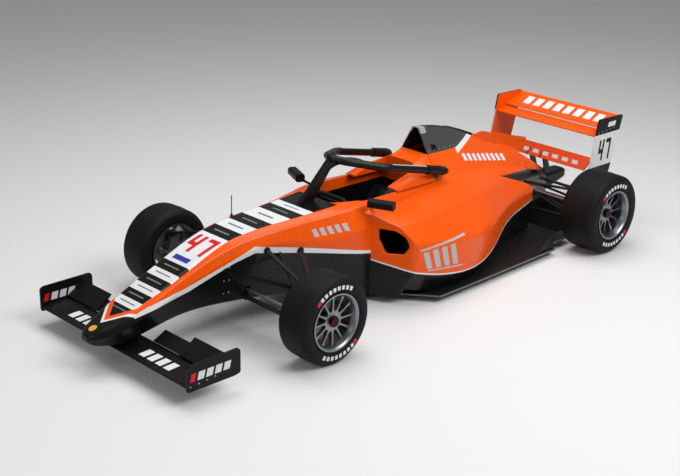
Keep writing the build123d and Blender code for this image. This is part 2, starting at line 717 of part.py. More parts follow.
def upright(low_ball, high_ball, wheel_z, y_mid):
    low = low_ball - wheel_z
    high = high_ball - wheel_z
    half = [(17, low + 18), (38, -30), (38, 30), (17, high - 18)]
    outline = half + [(-x, z) for x, z in reversed(half)]
    post = extrude(profile(along(y_mid), outline, [8, 20, 20, 8] * 2), UPRIGHT_HALF, both=True)
    studs = Pos(0, y_mid, (low + high) / 2) * Cylinder(STUD_RADIUS, high - low + 30)
    drum = Pos(0, y_mid, 0) * Rot(90, 0, 0) * Cylinder(48, 2 * UPRIGHT_HALF)
    ear = Pos(-50, y_mid, 0) * Box(100, 2 * UPRIGHT_HALF, 60)
    bore = Pos(0, y_mid, 0) * Rot(90, 0, 0) * Cylinder(SPINDLE_RADIUS + SEAT_GAP, 4 * UPRIGHT_HALF)
    return post + studs + drum + ear - bore


FRONT_RIM_HALF = FRONT_TYRE_WIDTH / 2 - 6
REAR_RIM_HALF = REAR_TYRE_WIDTH / 2 - 6
FRONT_FACE_Y = 48
REAR_FACE_Y = 40
FRONT_PIN = KINGPIN_Y - FRONT_TRACK / 2
REAR_PIN = REAR_BALL_Y - REAR_TRACK / 2
FRONT_DISC_Y = FRONT_PIN + 34
REAR_DISC_Y = REAR_PIN + 40
front_centre = Pos(x_at(0), FRONT_TRACK / 2, FRONT_TYRE_RADIUS)
rear_centre = Pos(x_at(WHEELBASE), REAR_TRACK / 2, REAR_TYRE_RADIUS)

front_tyre = front_centre * tyre(FRONT_TYRE_RADIUS, FRONT_TYRE_WIDTH, FRONT_RIM_HALF)
front_rim = front_centre * rim(FRONT_RIM_HALF, FRONT_FACE_Y)
front_hub = front_centre * hub(FRONT_FACE_Y, FRONT_DISC_Y, FRONT_PIN - 24)
rear_tyre = rear_centre * tyre(REAR_TYRE_RADIUS, REAR_TYRE_WIDTH, REAR_RIM_HALF)
rear_rim = rear_centre * rim(REAR_RIM_HALF, REAR_FACE_Y)
rear_axle = rear_centre * hub(REAR_FACE_Y, REAR_DISC_Y, REAR_PIN - 30)
SHAFT_INNER = 114
shaft_length = REAR_TRACK / 2 + REAR_PIN - 28 - SHAFT_INNER
shaft_at = Pos(x_at(WHEELBASE), SHAFT_INNER + shaft_length / 2, REAR_TYRE_RADIUS) * Rot(90, 0, 0)
shaft = shaft_at * Cylinder(14, shaft_length)
for joint_y in (SHAFT_INNER + 30, SHAFT_INNER + shaft_length - 22):
    boot = Pos(x_at(WHEELBASE), joint_y, REAR_TYRE_RADIUS) * Rot(90, 0, 0) * Cylinder(38, 44)
    shaft = shaft + boot
rear_hub = rear_axle + shaft

front_post = upright(FRONT_LOWER_Z, FRONT_UPPER_Z, FRONT_TYRE_RADIUS, FRONT_PIN)
arm_z = TRACK_ROD_Z - 20 - FRONT_TYRE_RADIUS
arm = Pos(STEERING_ARM / 2 + 8, FRONT_PIN, arm_z) * Box(STEERING_ARM + 14, 26, 14)
arm = arm - Pos(0, FRONT_PIN, 0) * Rot(90, 0, 0) * Cylinder(SPINDLE_RADIUS + 10, 100)
front_upright = front_centre * (front_post + arm)
front_brake = front_centre * caliper(FRONT_DISC_Y, -1)
rear_post = upright(REAR_LOWER_Z, REAR_UPPER_Z, REAR_TYRE_RADIUS, REAR_PIN)
rear_uprights = both_sides(rear_centre * rear_post) + both_sides(rear_centre * caliper(REAR_DISC_Y, -1))

# Steering: rack with track rods, column and wheel
rack_bar = Rot(90, 0, 0) * Cylinder(15, 300)
track_rods = Rot(90, 0, 0) * Cylinder(9, 2 * KINGPIN_Y - 20)
eyes = [Pos(0, y, 0) * Cylinder(13, 26 - 2 * SEAT_GAP) for y in (KINGPIN_Y, -KINGPIN_Y)]
steering_rack = Pos(x_at(-STEERING_ARM), 0, TRACK_ROD_Z) * (rack_bar + track_rods + eyes)

column_plane = Plane(
    origin=(x_at(WHEEL_STATION), 0, WHEEL_Z),
    x_dir=(0, 1, 0),
    z_dir=(-cos(radians(COLUMN_ANGLE)), 0, sin(radians(COLUMN_ANGLE))),
)
column_bar = column_plane * Pos(0, 0, -20 - SEAT_GAP - 240) * Cylinder(14, 480)
column_post = side_plate([(430, 430), (470, 445), (470, 553.4), (430, 552.6)], [0] * 4, 0, 20)
steering_column = column_bar + column_post
WHEEL_HALF = 135
WHEEL_HIGH = 82
grip = column_plane * FilletPolyline(
    (-WHEEL_HALF, -WHEEL_HIGH),
    (WHEEL_HALF, -WHEEL_HIGH),
    (WHEEL_HALF, WHEEL_HIGH),
    (-WHEEL_HALF, WHEEL_HIGH),
    radius=[50] * 4,
    close=True,
)
wheel_ring = sweep(Plane(grip @ 0, z_dir=grip % 0) * Circle(13), path=grip)
HAND_SLOT = (76, 22)
HAND_SLOT_AT = 106
hand_slot = Rot(0, 0, 90) * extrude(SlotOverall(*HAND_SLOT), 40, both=True)
hand_slots = [Pos(u, 0, 0) * hand_slot for u in (-HAND_SLOT_AT, HAND_SLOT_AT)]
wheel_plate = Box(2 * WHEEL_HALF - 10, 96, 16) - hand_slots
wheel_plate = column_plane * wheel_plate
wheel_boss = column_plane * Pos(0, 0, -10) * Cylinder(26, 20)
steering_wheel = wheel_ring + wheel_plate + wheel_boss

nodes = {
    "monocoque": monocoque,
    "nose_cone": nose_cone,
    "cockpit_surround": cockpit_surround,
    "seat": seat,
    "halo": halo,
    "roll_hoop_cowl": roll_hoop,
    "engine_cover": engine_cover,
    "sidepod_left": sidepod_left,
    "sidepod_right": mirror(sidepod_left, about=Plane.XZ),
    "radiators": radiators,
    "floor": floor,
    "skid_plank": skid_plank,
    "diffuser": diffuser,
    "engine_block": engine_block,
    "gearbox": gearbox,
    "crash_structure": crash_structure,
    "rain_light": rain_light,
    "front_wing_mainplane": front_wing_mainplane,
    "front_wing_flaps": front_wing_flaps,
    "front_wing_endplates": front_wing_endplates,
    "rear_wing_mainplane": rear_planes["mainplane"],
    "rear_wing_flap": rear_planes["flap"],
    "rear_wing_beam": rear_wing_beam,
    "rear_wing_endplates": rear_wing_endplates,
    "mirror_housings": mirror_housings,
    "mirror_glasses": mirror_glasses,
    "radio_antenna": radio_antenna,
    "front_wishbones": front_wishbones,
    "front_pushrods": front_pushrods,
    "rear_wishbones": rear_wishbones,
    "rear_pushrods": rear_pushrods,
    "rear_uprights": rear_uprights,
    "steering_column": steering_column,
    "steering_wheel": steering_wheel,
    "steering_rack": steering_rack,
}
corner_pieces = {
    "front_{}_upright": [front_upright, front_brake],
    "front_{}_hub": [front_hub],
    "front_{}_rim": [front_rim],
    "front_{}_tyre": [front_tyre],
    "rear_{}_hub": [rear_hub],
    "rear_{}_rim": [rear_rim],
    "rear_{}_tyre": [rear_tyre],
}
for pattern, pieces in corner_pieces.items():
    nodes[pattern.format("left")] = pieces
    nodes[pattern.format("right")] = [mirror(piece, about=Plane.XZ) for piece in pieces]

os.makedirs("parts", exist_ok=True)
for name, piece in nodes.items():
    pieces = piece if isinstance(piece, list) else [piece]
    solids = [solid for item in pieces for solid in item.solids()]
    export_step(Compound(children=solids) if len(solids) > 1 else solids[0], f"parts/{name}.step")
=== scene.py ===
from math import cos, exp, pi, radians, sin

import bmesh
import bpy
from mathutils import Matrix, Vector
from mathutils.bvhtree import BVHTree


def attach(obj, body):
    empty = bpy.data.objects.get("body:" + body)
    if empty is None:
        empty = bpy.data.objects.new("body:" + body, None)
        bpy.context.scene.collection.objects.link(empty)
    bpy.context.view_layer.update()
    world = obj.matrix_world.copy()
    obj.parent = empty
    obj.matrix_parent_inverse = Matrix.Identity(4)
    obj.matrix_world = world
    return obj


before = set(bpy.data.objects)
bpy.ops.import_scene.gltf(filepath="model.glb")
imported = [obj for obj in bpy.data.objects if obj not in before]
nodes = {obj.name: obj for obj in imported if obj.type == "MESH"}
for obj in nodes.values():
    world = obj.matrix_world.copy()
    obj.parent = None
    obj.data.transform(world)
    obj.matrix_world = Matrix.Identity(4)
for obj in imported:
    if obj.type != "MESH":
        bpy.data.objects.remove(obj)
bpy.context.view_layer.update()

# Nose cone and tub: one moulded carbon shell in two pieces, bolted at a bulkhead.
# Sprayed gloss orange above and black below, with a pale band masked between them
# that runs forward into a V over the nose and a banded panel along the top.
ORANGE = (0.79, 0.086, 0.001)
CARBON = (0.0035, 0.0035, 0.0038)
PALE = (0.68, 0.69, 0.70)
PAINT_ROUGH, PAINT_COAT, PAINT_SPECULAR = 0.26, 0.12, 0.16
PAINT_GRAIN, PAINT_PEEL, PAINT_SHADE = 24, 0.000004, 0.04
COAT_ROUGH = 0.05
ROUGH_SPREAD = 0.12
FRONT_AXLE_X = 1.0825


def station(behind_front_axle):
    return FRONT_AXLE_X - behind_front_axle / 1000


def finish(name, colour, roughness, metallic=0.0, coat=0.0, specular=0.5):
    material = bpy.data.materials.new(name)
    material.use_nodes = True
    shader = material.node_tree.nodes["Principled BSDF"]
    shader.inputs["Base Color"].default_value = (*colour, 1)
    shader.inputs["Roughness"].default_value = roughness
    shader.inputs["Metallic"].default_value = metallic
    shader.inputs["Coat Weight"].default_value = coat
    shader.inputs["Coat Roughness"].default_value = COAT_ROUGH
    shader.inputs["Specular IOR Level"].default_value = specular
    return material, material.node_tree, shader


def calc(tree, kind, first, second=0.0, third=0.0):
    node = tree.nodes.new("ShaderNodeMath")
    node.operation = kind
    for socket, value in zip(node.inputs, (first, second, third)):
        if isinstance(value, (int, float)):
            socket.default_value = value
        else:
            tree.links.new(value, socket)
    return node.outputs[0]


def above(tree, value, limit):
    return calc(tree, "GREATER_THAN", value, limit)


def below(tree, value, limit):
    return calc(tree, "LESS_THAN", value, limit)


def where_all(tree, first, *others):
    for mask in others:
        first = calc(tree, "MULTIPLY", first, mask)
    return first


def where_any(tree, first, *others):
    for mask in others:
        first = calc(tree, "MAXIMUM", first, mask)
    return first


def share_along(tree, x, low, high):
    return calc(tree, "DIVIDE", calc(tree, "SUBTRACT", x, low), high - low)


def place_on(tree):
    coords = tree.nodes.new("ShaderNodeTexCoord")
    split = tree.nodes.new("ShaderNodeSeparateXYZ")
    tree.links.new(coords.outputs["Object"], split.inputs[0])
    return coords.outputs["Object"], split.outputs


def facing_on(tree):
    geometry = tree.nodes.new("ShaderNodeNewGeometry")
    split = tree.nodes.new("ShaderNodeSeparateXYZ")
    tree.links.new(geometry.outputs["True Normal"], split.inputs[0])
    return split.outputs


def blend_colour(tree, mask, ground, over):
    node = tree.nodes.new("ShaderNodeMix")
    node.data_type = "RGBA"
    tree.links.new(mask, node.inputs["Factor"])
    for name, value in (("A", ground), ("B", over)):
        socket = [s for s in node.inputs if s.name == name and s.type == "RGBA"][0]
        if isinstance(value, tuple):
            socket.default_value = (*value, 1)
        else:
            tree.links.new(value, socket)
    return [s for s in node.outputs if s.type == "RGBA"][0]


def edge_line(tree, x, points, corners="VECTOR"):
    points = sorted(points)
    low, high = points[0][0], points[-1][0]
    curve = tree.nodes.new("ShaderNodeFloatCurve")
    line = curve.mapping.curves[0]
    line.points[0].location = (0, points[0][1])
    line.points[1].location = (1, points[-1][1])
    for px, height in points[1:-1]:
        line.points.new((px - low) / (high - low), height)
    for p in line.points:
        p.handle_type = corners
    curve.mapping.update()
    tree.links.new(share_along(tree, x, low, high), curve.inputs["Value"])
    return curve.outputs[0]


def bands(tree, x, steps, high):
    low = steps[0][0]
    ramp = tree.nodes.new("ShaderNodeValToRGB")
    ramp.color_ramp.interpolation = "CONSTANT"
    stops = ramp.color_ramp.elements
    stops.remove(stops[1])
    stops[0].position = 0
    stops[0].color = (*steps[0][1], 1)
    for start, colour in steps[1:]:
        stops.new((start - low) / (high - low)).color = (*colour, 1)
    tree.links.new(share_along(tree, x, low, high), ramp.inputs["Fac"])
    return ramp.outputs["Color"]


def mottle(tree, where, shader, source, grain, depth, shade, detail=3.0):
    noise = tree.nodes.new("ShaderNodeTexNoise")
    noise.inputs["Scale"].default_value = grain
    noise.inputs["Detail"].default_value = detail
    tree.links.new(where, noise.inputs["Vector"])
    bump = tree.nodes.new("ShaderNodeBump")
    bump.inputs["Distance"].default_value = depth
    tree.links.new(noise.outputs["Fac"], bump.inputs["Height"])
    tree.links.new(bump.outputs["Normal"], shader.inputs["Normal"])
    level = calc(tree, "MULTIPLY_ADD", noise.outputs["Fac"], 2 * shade, 1 - shade)
    tint = tree.nodes.new("ShaderNodeVectorMath")
    tint.operation = "SCALE"
    if isinstance(source, tuple):
        tint.inputs[0].default_value = source
    else:
        tree.links.new(source, tint.inputs[0])
    tree.links.new(level, tint.inputs["Scale"])
    tree.links.new(tint.outputs[0], shader.inputs["Base Color"])
    least_rough = shader.inputs["Roughness"].default_value - ROUGH_SPREAD / 2
    rough = calc(tree, "MULTIPLY_ADD", noise.outputs["Fac"], ROUGH_SPREAD, least_rough)
    tree.links.new(rough, shader.inputs["Roughness"])


def painted(name, colour, roughness=PAINT_ROUGH, coat=PAINT_COAT, pattern=None):
    material, tree, shader = finish(name, colour, roughness, coat=coat, specular=PAINT_SPECULAR)
    where, axes = place_on(tree)
    source = pattern(tree, *axes) if pattern else colour
    mottle(tree, where, shader, source, PAINT_GRAIN, PAINT_PEEL, PAINT_SHADE)
    return material


def dress(material, *names):
    for name in names:
        nodes[name].data.materials.clear()
        nodes[name].data.materials.append(material)


# Height of the pale band's edges over x, and half width of the top panel, in metres.
BAND_TOP = [(0.20, 0.338), (0.41, 0.385), (0.61, 0.431), (0.81, 0.478), (1.13, 0.552), (1.273, 0.507)]
BAND_TOP += [(1.313, 0.494), (1.591, 0.412), (1.875, 0.349), (1.945, 0.325), (1.98, 0.27), (2.25, 0.15)]
BAND_LOW = [(0.20, 0.320), (0.41, 0.36), (0.61, 0.401), (0.81, 0.443), (1.13, 0.512), (1.273, 0.482)]
BAND_LOW += [(1.313, 0.471), (1.591, 0.380), (1.875, 0.322), (1.961, 0.304), (1.985, 0.265), (2.25, 0.14)]
PANEL_HALF = [(0.40, 0.176), (0.645, 0.160), (1.022, 0.137), (1.272, 0.122), (1.527, 0.125), (1.707, 0.121)]
PANEL_HALF += [(1.94, 0.101), (2.06, 0.086)]
PANEL_STEPS = [0.40, 0.62, 0.70, 0.802, 0.945, 1.057, 1.17, 1.273]
PANEL_STEPS += [1.566, 1.636, 1.694, 1.763, 1.822, 1.888, 1.947]
PANEL_TIP_X, PANEL_REAR_X, PANEL_FACING = 2.045, station(652), 0.4
VEE_TIP_X, VEE_SLOPE, VEE_WIDTH = 2.108, 1.127, 0.023
# The bare black faces inside the tub, and outside it where a sidepod hides them.
COCKPIT_FRONT_X, COCKPIT_HALF, COCKPIT_RIM = station(640), 0.2235, 0.575
FOOTWELL_FRONT_X, FOOTWELL_HALF, FOOTWELL_ROOF = station(69), 0.1505, 0.565
FOOTWELL_FLOOR = [(station(730), 0.072), (station(620), 0.095), (station(70), 0.255)]
POD_FRONT_X, POD_ROOT, POD_ROOF = station(840), 0.28, 0.56


def hull_pattern(tree, x, y, z):
    side = calc(tree, "ABSOLUTE", y)
    vee = calc(tree, "MULTIPLY_ADD", side, VEE_SLOPE, x)
    black = where_any(tree, below(tree, z, edge_line(tree, x, BAND_LOW)), above(tree, vee, VEE_TIP_X))
    vee_band = above(tree, vee, VEE_TIP_X - VEE_WIDTH)
    band = where_any(tree, below(tree, z, edge_line(tree, x, BAND_TOP)), vee_band)
    panel = where_all(
        tree,
        below(tree, side, edge_line(tree, x, PANEL_HALF)),
        above(tree, facing_on(tree)[2], PANEL_FACING),
        below(tree, vee, PANEL_TIP_X),
        above(tree, x, PANEL_REAR_X),
    )
    in_cockpit = where_all(tree, below(tree, side, COCKPIT_HALF), below(tree, x, COCKPIT_FRONT_X))
    in_footwell = where_all(
        tree,
        below(tree, side, FOOTWELL_HALF),
        below(tree, x, FOOTWELL_FRONT_X),
        below(tree, z, FOOTWELL_ROOF),
    )
    inside = where_all(
        tree,
        where_any(tree, in_cockpit, in_footwell),
        below(tree, z, COCKPIT_RIM),
        above(tree, z, edge_line(tree, x, FOOTWELL_FLOOR)),
    )
    behind_pod = where_all(
        tree,
        below(tree, x, POD_FRONT_X),
        above(tree, side, POD_ROOT),
        below(tree, z, POD_ROOF),
    )
    steps = [(start, PALE if k % 2 else CARBON) for k, start in enumerate(PANEL_STEPS)]
    colour = blend_colour(tree, band, ORANGE, PALE)
    colour = blend_colour(tree, panel, colour, bands(tree, x, steps, PANEL_TIP_X))
    return blend_colour(tree, where_any(tree, black, inside, behind_pod), colour, CARBON)


dress(painted("hull_paint", ORANGE, pattern=hull_pattern), "nose_cone", "monocoque")


# Nose graphics: cut vinyl laid over the paint. A plain number in red on its pale field,
# a blue bar ahead of it, one thin grey line on each short band and a gold disc on the tip.
def surface(*names):
    shell = bmesh.new()
    for name in names:
        shell.from_mesh(nodes.get(name, bpy.data.objects.get(name)).data)
    tree = BVHTree.FromBMesh(shell)
    shell.free()
    return tree


VINYL_CELL, VINYL_LIFT = 0.014, 0.0007


def lay(sheet, tree, corners, throw, slot=0, cell=VINYL_CELL, lift=VINYL_LIFT):
    a, b, c, d = [Vector(p) for p in corners]
    throw = Vector(throw)
    rows = max(1, round(max((b - a).length, (c - d).length) / cell))
    cols = max(1, round(max((d - a).length, (c - b).length) / cell))
    grid = {}
    for i in range(rows + 1):
        for j in range(cols + 1):
            start = a.lerp(b, i / rows).lerp(d.lerp(c, i / rows), j / cols)
            hit, normal = tree.ray_cast(start, throw)[:2]
            if hit is not None:
                normal = normal if normal.dot(throw) < 0 else -normal
                grid[i, j] = sheet.verts.new(hit + normal * lift)
    for i in range(rows):
        for j in range(cols):
            keys = [(i, j), (i + 1, j), (i + 1, j + 1), (i, j + 1)]
            if all(k in grid for k in keys):
                face = sheet.faces.new([grid[k] for k in keys])
                face.material_index = slot
                face.smooth = True
                face.normal_update()
                if face.normal.dot(throw) > 0:
                    face.normal_flip()


DOWN, ABOVE_ALL, BEYOND_SIDES = (0, 0, -1), 1.2, 0.9


def lay_down(sheet, tree, spots, slot=0, cell=VINYL_CELL):
    lay(sheet, tree, [(x, y, ABOVE_ALL) for x, y in spots], DOWN, slot, cell)


def lay_side(sheet, tree, spots, sign, slot=0):
    lay(sheet, tree, [(x, sign * BEYOND_SIDES, z) for x, z in spots], (0, -sign, 0), slot)


def piece(name, sheet, body, slot, *materials):
    mesh = bpy.data.meshes.new(name)
    sheet.to_mesh(mesh)
    sheet.free()
    for material in materials:
        mesh.materials.append(material)
    thing = bpy.data.objects.new(name, mesh)
    bpy.context.collection.objects.link(thing)
    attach(thing, body)
    return thing


# Bars of each digit as (left, low, right, high) on a cell 1 wide and 1.6 high.
DIGITS = {
    "4": [(0, 0.56, 0.34, 1.6), (0.34, 0.56, 0.66, 0.88), (0.66, 0, 1, 1.6)],
    "7": [(0, 1.28, 0.66, 1.6), (0.66, 0, 1, 1.6)],
}
DIGIT_GAP, DIGIT_CELL = 0.32, 0.01


def number(sheet, tree, digits, origin, run, rise, throw, slot, lean):
    origin, run, rise = Vector(origin), Vector(run), Vector(rise)
    for k, digit in enumerate(digits):
        for left, low, right, high in DIGITS[digit]:
            spots = [(left, low), (right, low), (right, high), (left, high)]
            first = k * (1 + DIGIT_GAP)
            corners = [origin + run * (first + u + lean * v) + rise * v for u, v in spots]
            lay(sheet, tree, corners, throw, slot, DIGIT_CELL)


VINYL_ROUGH, VINYL_COAT = 0.34, 0.05
vinyl_white = painted("vinyl_white", PALE, VINYL_ROUGH, VINYL_COAT)
vinyl_black = painted("vinyl_black", CARBON, 0.36, VINYL_COAT)
vinyl_red = painted("vinyl_red", (0.62, 0.010, 0.018), VINYL_ROUGH, VINYL_COAT)
vinyl_blue = painted("vinyl_blue", (0.030, 0.035, 0.30), VINYL_ROUGH, VINYL_COAT)
vinyl_gold = painted("vinyl_gold", (0.66, 0.36, 0.03), VINYL_ROUGH, VINYL_COAT)
vinyl_grey = painted("vinyl_grey", (0.16, 0.16, 0.165), 0.36, VINYL_COAT)
# The order of the vinyls on a sheet.
WHITE, BLACK, RED, BLUE, GOLD, GREY = range(6)
nose_vinyls = (vinyl_white, vinyl_black, vinyl_red, vinyl_blue, vinyl_gold, vinyl_grey)
NUMBER = "47"
hull_skin = surface("nose_cone", "monocoque")
nose_sheet = bmesh.new()
number_at, number_run, number_rise = (1.470, -0.098, ABOVE_ALL), (0, 0.084, 0), (-0.100, 0, 0)
number(nose_sheet, hull_skin, NUMBER, number_at, number_run, number_rise, DOWN, RED, lean=0.04)
LEAD_BAR = [(1.545, -0.07), (1.545, 0.07), (1.510, 0.07), (1.510, -0.07)]
lay_down(nose_sheet, hull_skin, LEAD_BAR, BLUE)
SHORT_BAND, LAST_BAND_END = 0.2, 2.0
BAND_LINE_HALF, BAND_LINE_SHIFT, BAND_LINE_SHARE = 0.0682, 0.02, 0.13
for low, high in zip(PANEL_STEPS[1:], PANEL_STEPS[2:] + [LAST_BAND_END]):
    if high - low > SHORT_BAND:
        continue
    middle = (low + high) / 2 + BAND_LINE_SHIFT * (high - low)
    front, rear = [middle + way * BAND_LINE_SHARE * (high - low) / 2 for way in (1, -1)]
    corners = [(front, -1), (front, 1), (rear, 1), (rear, -1)]
    lay_down(nose_sheet, hull_skin, [(x, way * BAND_LINE_HALF) for x, way in corners], GREY)
DISC_X, DISC_RADIUS, DISC_SIDES = 2.158, 0.024, 16
for k in range(DISC_SIDES):
    turns = [2 * pi * t / DISC_SIDES for t in (k, k + 1)]
    rim = [(DISC_X + DISC_RADIUS * cos(t), DISC_RADIUS * sin(t)) for t in turns]
    lay_down(nose_sheet, hull_skin, [(DISC_X, 0), *rim, (DISC_X, 0)], GOLD)
piece("nose_graphics", nose_sheet, "chassis", "orange_paint", *nose_vinyls)

# Cockpit surround: a moulded headrest with rim pads around the opening.
# Foam in a hard skin, painted with the body and pinned to the tub.
dress(painted("surround_paint", ORANGE, 0.32), "cockpit_surround")

# Sidepods: thin carbon shells with a rolled lip low down, screwed to tub and floor.
# Orange above the lip, a pale pinstripe along it, black below and inside the ducts.
LIP = [(780, 0.300), (1000, 0.222), (1300, 0.150), (1545, 0.126)]
LIP += [(1865, 0.152), (2150, 0.222), (2400, 0.246), (2640, 0.260)]
LIP_STRIPE, LIP_TUCK = 0.009, 0.001


def pod_pattern(tree, x, y, z):
    lip = edge_line(tree, x, [(station(s), height) for s, height in LIP], "AUTO")
    black = below(tree, z, calc(tree, "SUBTRACT", lip, LIP_TUCK))
    stripe = below(tree, z, calc(tree, "ADD", lip, LIP_STRIPE))
    return blend_colour(tree, black, blend_colour(tree, stripe, ORANGE, PALE), CARBON)


def dress_inside(name, tree, material, reach=0.5, clear=0.003):
    shell = nodes[name].data
    shell.materials.append(material)
    for face in shell.polygons:
        start = face.center + face.normal * clear
        if tree.ray_cast(start, face.normal, reach)[0] is not None:
            face.material_index = len(shell.materials) - 1


pod_black = painted("pod_black", CARBON, 0.5, 0.0)
dress(painted("pod_paint", ORANGE, pattern=pod_pattern), "sidepod_left", "sidepod_right")
around_pods = surface("sidepod_left", "sidepod_right", "monocoque", "radiators", "engine_block")
dress_inside("sidepod_left", around_pods, pod_black)
dress_inside("sidepod_right", around_pods, pod_black)

# Flank graphics: cut vinyl. Silver slanted bars between two lines on each pod,
# more of them on the tub's side, and a falling row of white bars on the engine cover.
vinyl_silver = painted("vinyl_silver", (0.42, 0.43, 0.44), 0.38, 0.0)
pod_skins = {1: surface("sidepod_left"), -1: surface("sidepod_right")}
tub_skin, cover_skin = surface("monocoque"), surface("engine_cover")
POD_BARS, POD_BAR_START, POD_BAR_STEP, POD_BAR_SINK = 4, 1056, 82, 0.00984
POD_BAR_LOW, POD_BAR_HIGH, POD_BAR = 0.245, 0.365, {"width": 48, "lean": 46, "fall": 0.005}
TUB_BARS, TUB_BAR_START, TUB_BAR_STEP = 5, 395, 55
TUB_BAR_LOW, TUB_BAR_HIGH, TUB_BAR = 0.520, 0.566, {"width": 34, "lean": 14, "fall": 0.004}
COVER_BARS, COVER_BAR_START, COVER_BAR_STEP, COVER_BAR_SINK = 9, 1905, 62, 0.01375
COVER_BAR_LOW, COVER_BAR_TALL, COVER_BAR = 0.690, 0.045, {"width": 36, "lean": 14, "fall": 0.005}
ON_POD, ON_COVER = 0, 1
POD_LINES = [
    [(985, 0.378), (985, 0.392), (1420, 0.402), (1420, 0.388)],
    [(1066, 0.235), (1066, 0.225), (1400, 0.184), (1400, 0.195)],
]


def slanted_bar(start, low, high, width, lean, fall):
    foot, head = (start, start + width), (start - lean, start + width - lean)
    return [(foot[0], low), (foot[1], low - fall), (head[1], high), (head[0], high)]


def lay_flank(sheet, tree, sign, spots, slot=ON_POD):
    lay_side(sheet, tree, [(station(s), z) for s, z in spots], sign, slot)


for side, sign in (("left", 1), ("right", -1)):
    flank = bmesh.new()
    for k in range(POD_BARS):
        start, low = POD_BAR_START + POD_BAR_STEP * k, POD_BAR_LOW - POD_BAR_SINK * k
        lay_flank(flank, pod_skins[sign], sign, slanted_bar(start, low, POD_BAR_HIGH, **POD_BAR))
    for line in POD_LINES:
        lay_flank(flank, pod_skins[sign], sign, line)
    for k in range(TUB_BARS):
        start = TUB_BAR_START + TUB_BAR_STEP * k
        lay_flank(flank, tub_skin, sign, slanted_bar(start, TUB_BAR_LOW, TUB_BAR_HIGH, **TUB_BAR))
    for k in range(COVER_BARS):
        start, low = COVER_BAR_START + COVER_BAR_STEP * k, COVER_BAR_LOW - COVER_BAR_SINK * k
        bar = slanted_bar(start, low, low + COVER_BAR_TALL, **COVER_BAR)
        lay_flank(flank, cover_skin, sign, bar, ON_COVER)
    piece(f"flank_graphics_{side}", flank, "chassis", "orange_paint", vinyl_silver, vinyl_white)

# Engine cover: one moulded carbon shell with a spine fin, screwed down along its foot.
# Sprayed orange, with a pale slanted band behind the cowl, and left black inside.
COWL_EDGE = [(station(2400), 0.911), (station(2115), 0.846), (station(1863), 0.786), (station(1500), 0.80)]
COVER_BAND, COVER_BAND_FRONT_X, COVER_BAND_REAR_X = 0.036, station(1850), station(2200)


def cover_pattern(tree, x, y, z):
    band_foot = calc(tree, "SUBTRACT", edge_line(tree, x, COWL_EDGE), COVER_BAND)
    band = where_all(
        tree,
        above(tree, z, band_foot),
        below(tree, x, COVER_BAND_FRONT_X),
        above(tree, x, COVER_BAND_REAR_X),
    )
    return blend_colour(tree, band, ORANGE, PALE)


dress(painted("cover_paint", ORANGE, pattern=cover_pattern), "engine_cover")
under_cover = surface("engine_cover", "roll_hoop_cowl", "engine_block", "gearbox", "monocoque")
dress_inside("engine_cover", under_cover, pod_black, reach=0.35)


# Roll hoop cowl: bare carbon moulded around the hoop and screwed to the cover behind it.
# The intake's rim carries a pale painted highlight, and a small black hatch is let into each side.
def woven(tree, where, colour, threads, dark, light):
    grid = tree.nodes.new("ShaderNodeTexChecker")
    grid.inputs["Scale"].default_value = threads
    grid.inputs["Color1"].default_value = (*[c * dark for c in colour], 1)
    grid.inputs["Color2"].default_value = (*[c * light for c in colour], 1)
    tree.links.new(where, grid.inputs["Vector"])
    return grid.outputs["Color"]


TWILL_TURN = (0.6, 0.7, 0.785)


def carbon_finish(name, colour, roughness, threads=0, specular=0.15):
    material, tree, shader = finish(name, colour, roughness, specular=specular)
    where, _ = place_on(tree)
    source = colour
    if threads:
        turn = tree.nodes.new("ShaderNodeMapping")
        turn.inputs["Rotation"].default_value = TWILL_TURN
        tree.links.new(where, turn.inputs["Vector"])
        source = woven(tree, turn.outputs[0], colour, threads, dark=0.75, light=1.5)
    mottle(tree, where, shader, source, grain=25, depth=0.00005, shade=0.2)
    return material


COWL_GREY, RIM_HIGHLIGHT_GREY = (0.05, 0.05, 0.052), (0.30, 0.31, 0.32)
RIM_REAR_X, RIM_FOOT = station(1600), 0.925
RIDGE_FRONT_X, RIDGE_FACING = station(1640), 0.75


def cowl_finish():
    material, tree, shader = finish("cowl_carbon", COWL_GREY, 0.4, specular=0.3)
    where, (x, _, z) = place_on(tree)
    # The pale grey along the top front of the intake is a painted highlight.
    rim = where_all(tree, above(tree, x, RIM_REAR_X), above(tree, z, RIM_FOOT))
    on_top = above(tree, facing_on(tree)[2], RIDGE_FACING)
    ridge = where_all(tree, on_top, below(tree, x, RIDGE_FRONT_X))
    colour = blend_colour(tree, rim, COWL_GREY, RIM_HIGHLIGHT_GREY)
    colour = blend_colour(tree, ridge, colour, CARBON)
    mottle(tree, where, shader, colour, grain=40, depth=0.00005, shade=0.1)
    return material


dress(cowl_finish(), "roll_hoop_cowl")
around_cowl = surface("roll_hoop_cowl", "engine_cover", "cockpit_surround")
dress_inside("roll_hoop_cowl", around_cowl, pod_black, reach=0.3)
HATCH = [(1600, 0.850), (1650, 0.842), (1650, 0.806), (1600, 0.814)]
cowl_skin = surface("roll_hoop_cowl")
hatches = bmesh.new()
for sign in (1, -1):
    lay_flank(hatches, cowl_skin, sign, HATCH)
piece("cowl_hatches", hatches, "chassis", "black_carbon", vinyl_black)

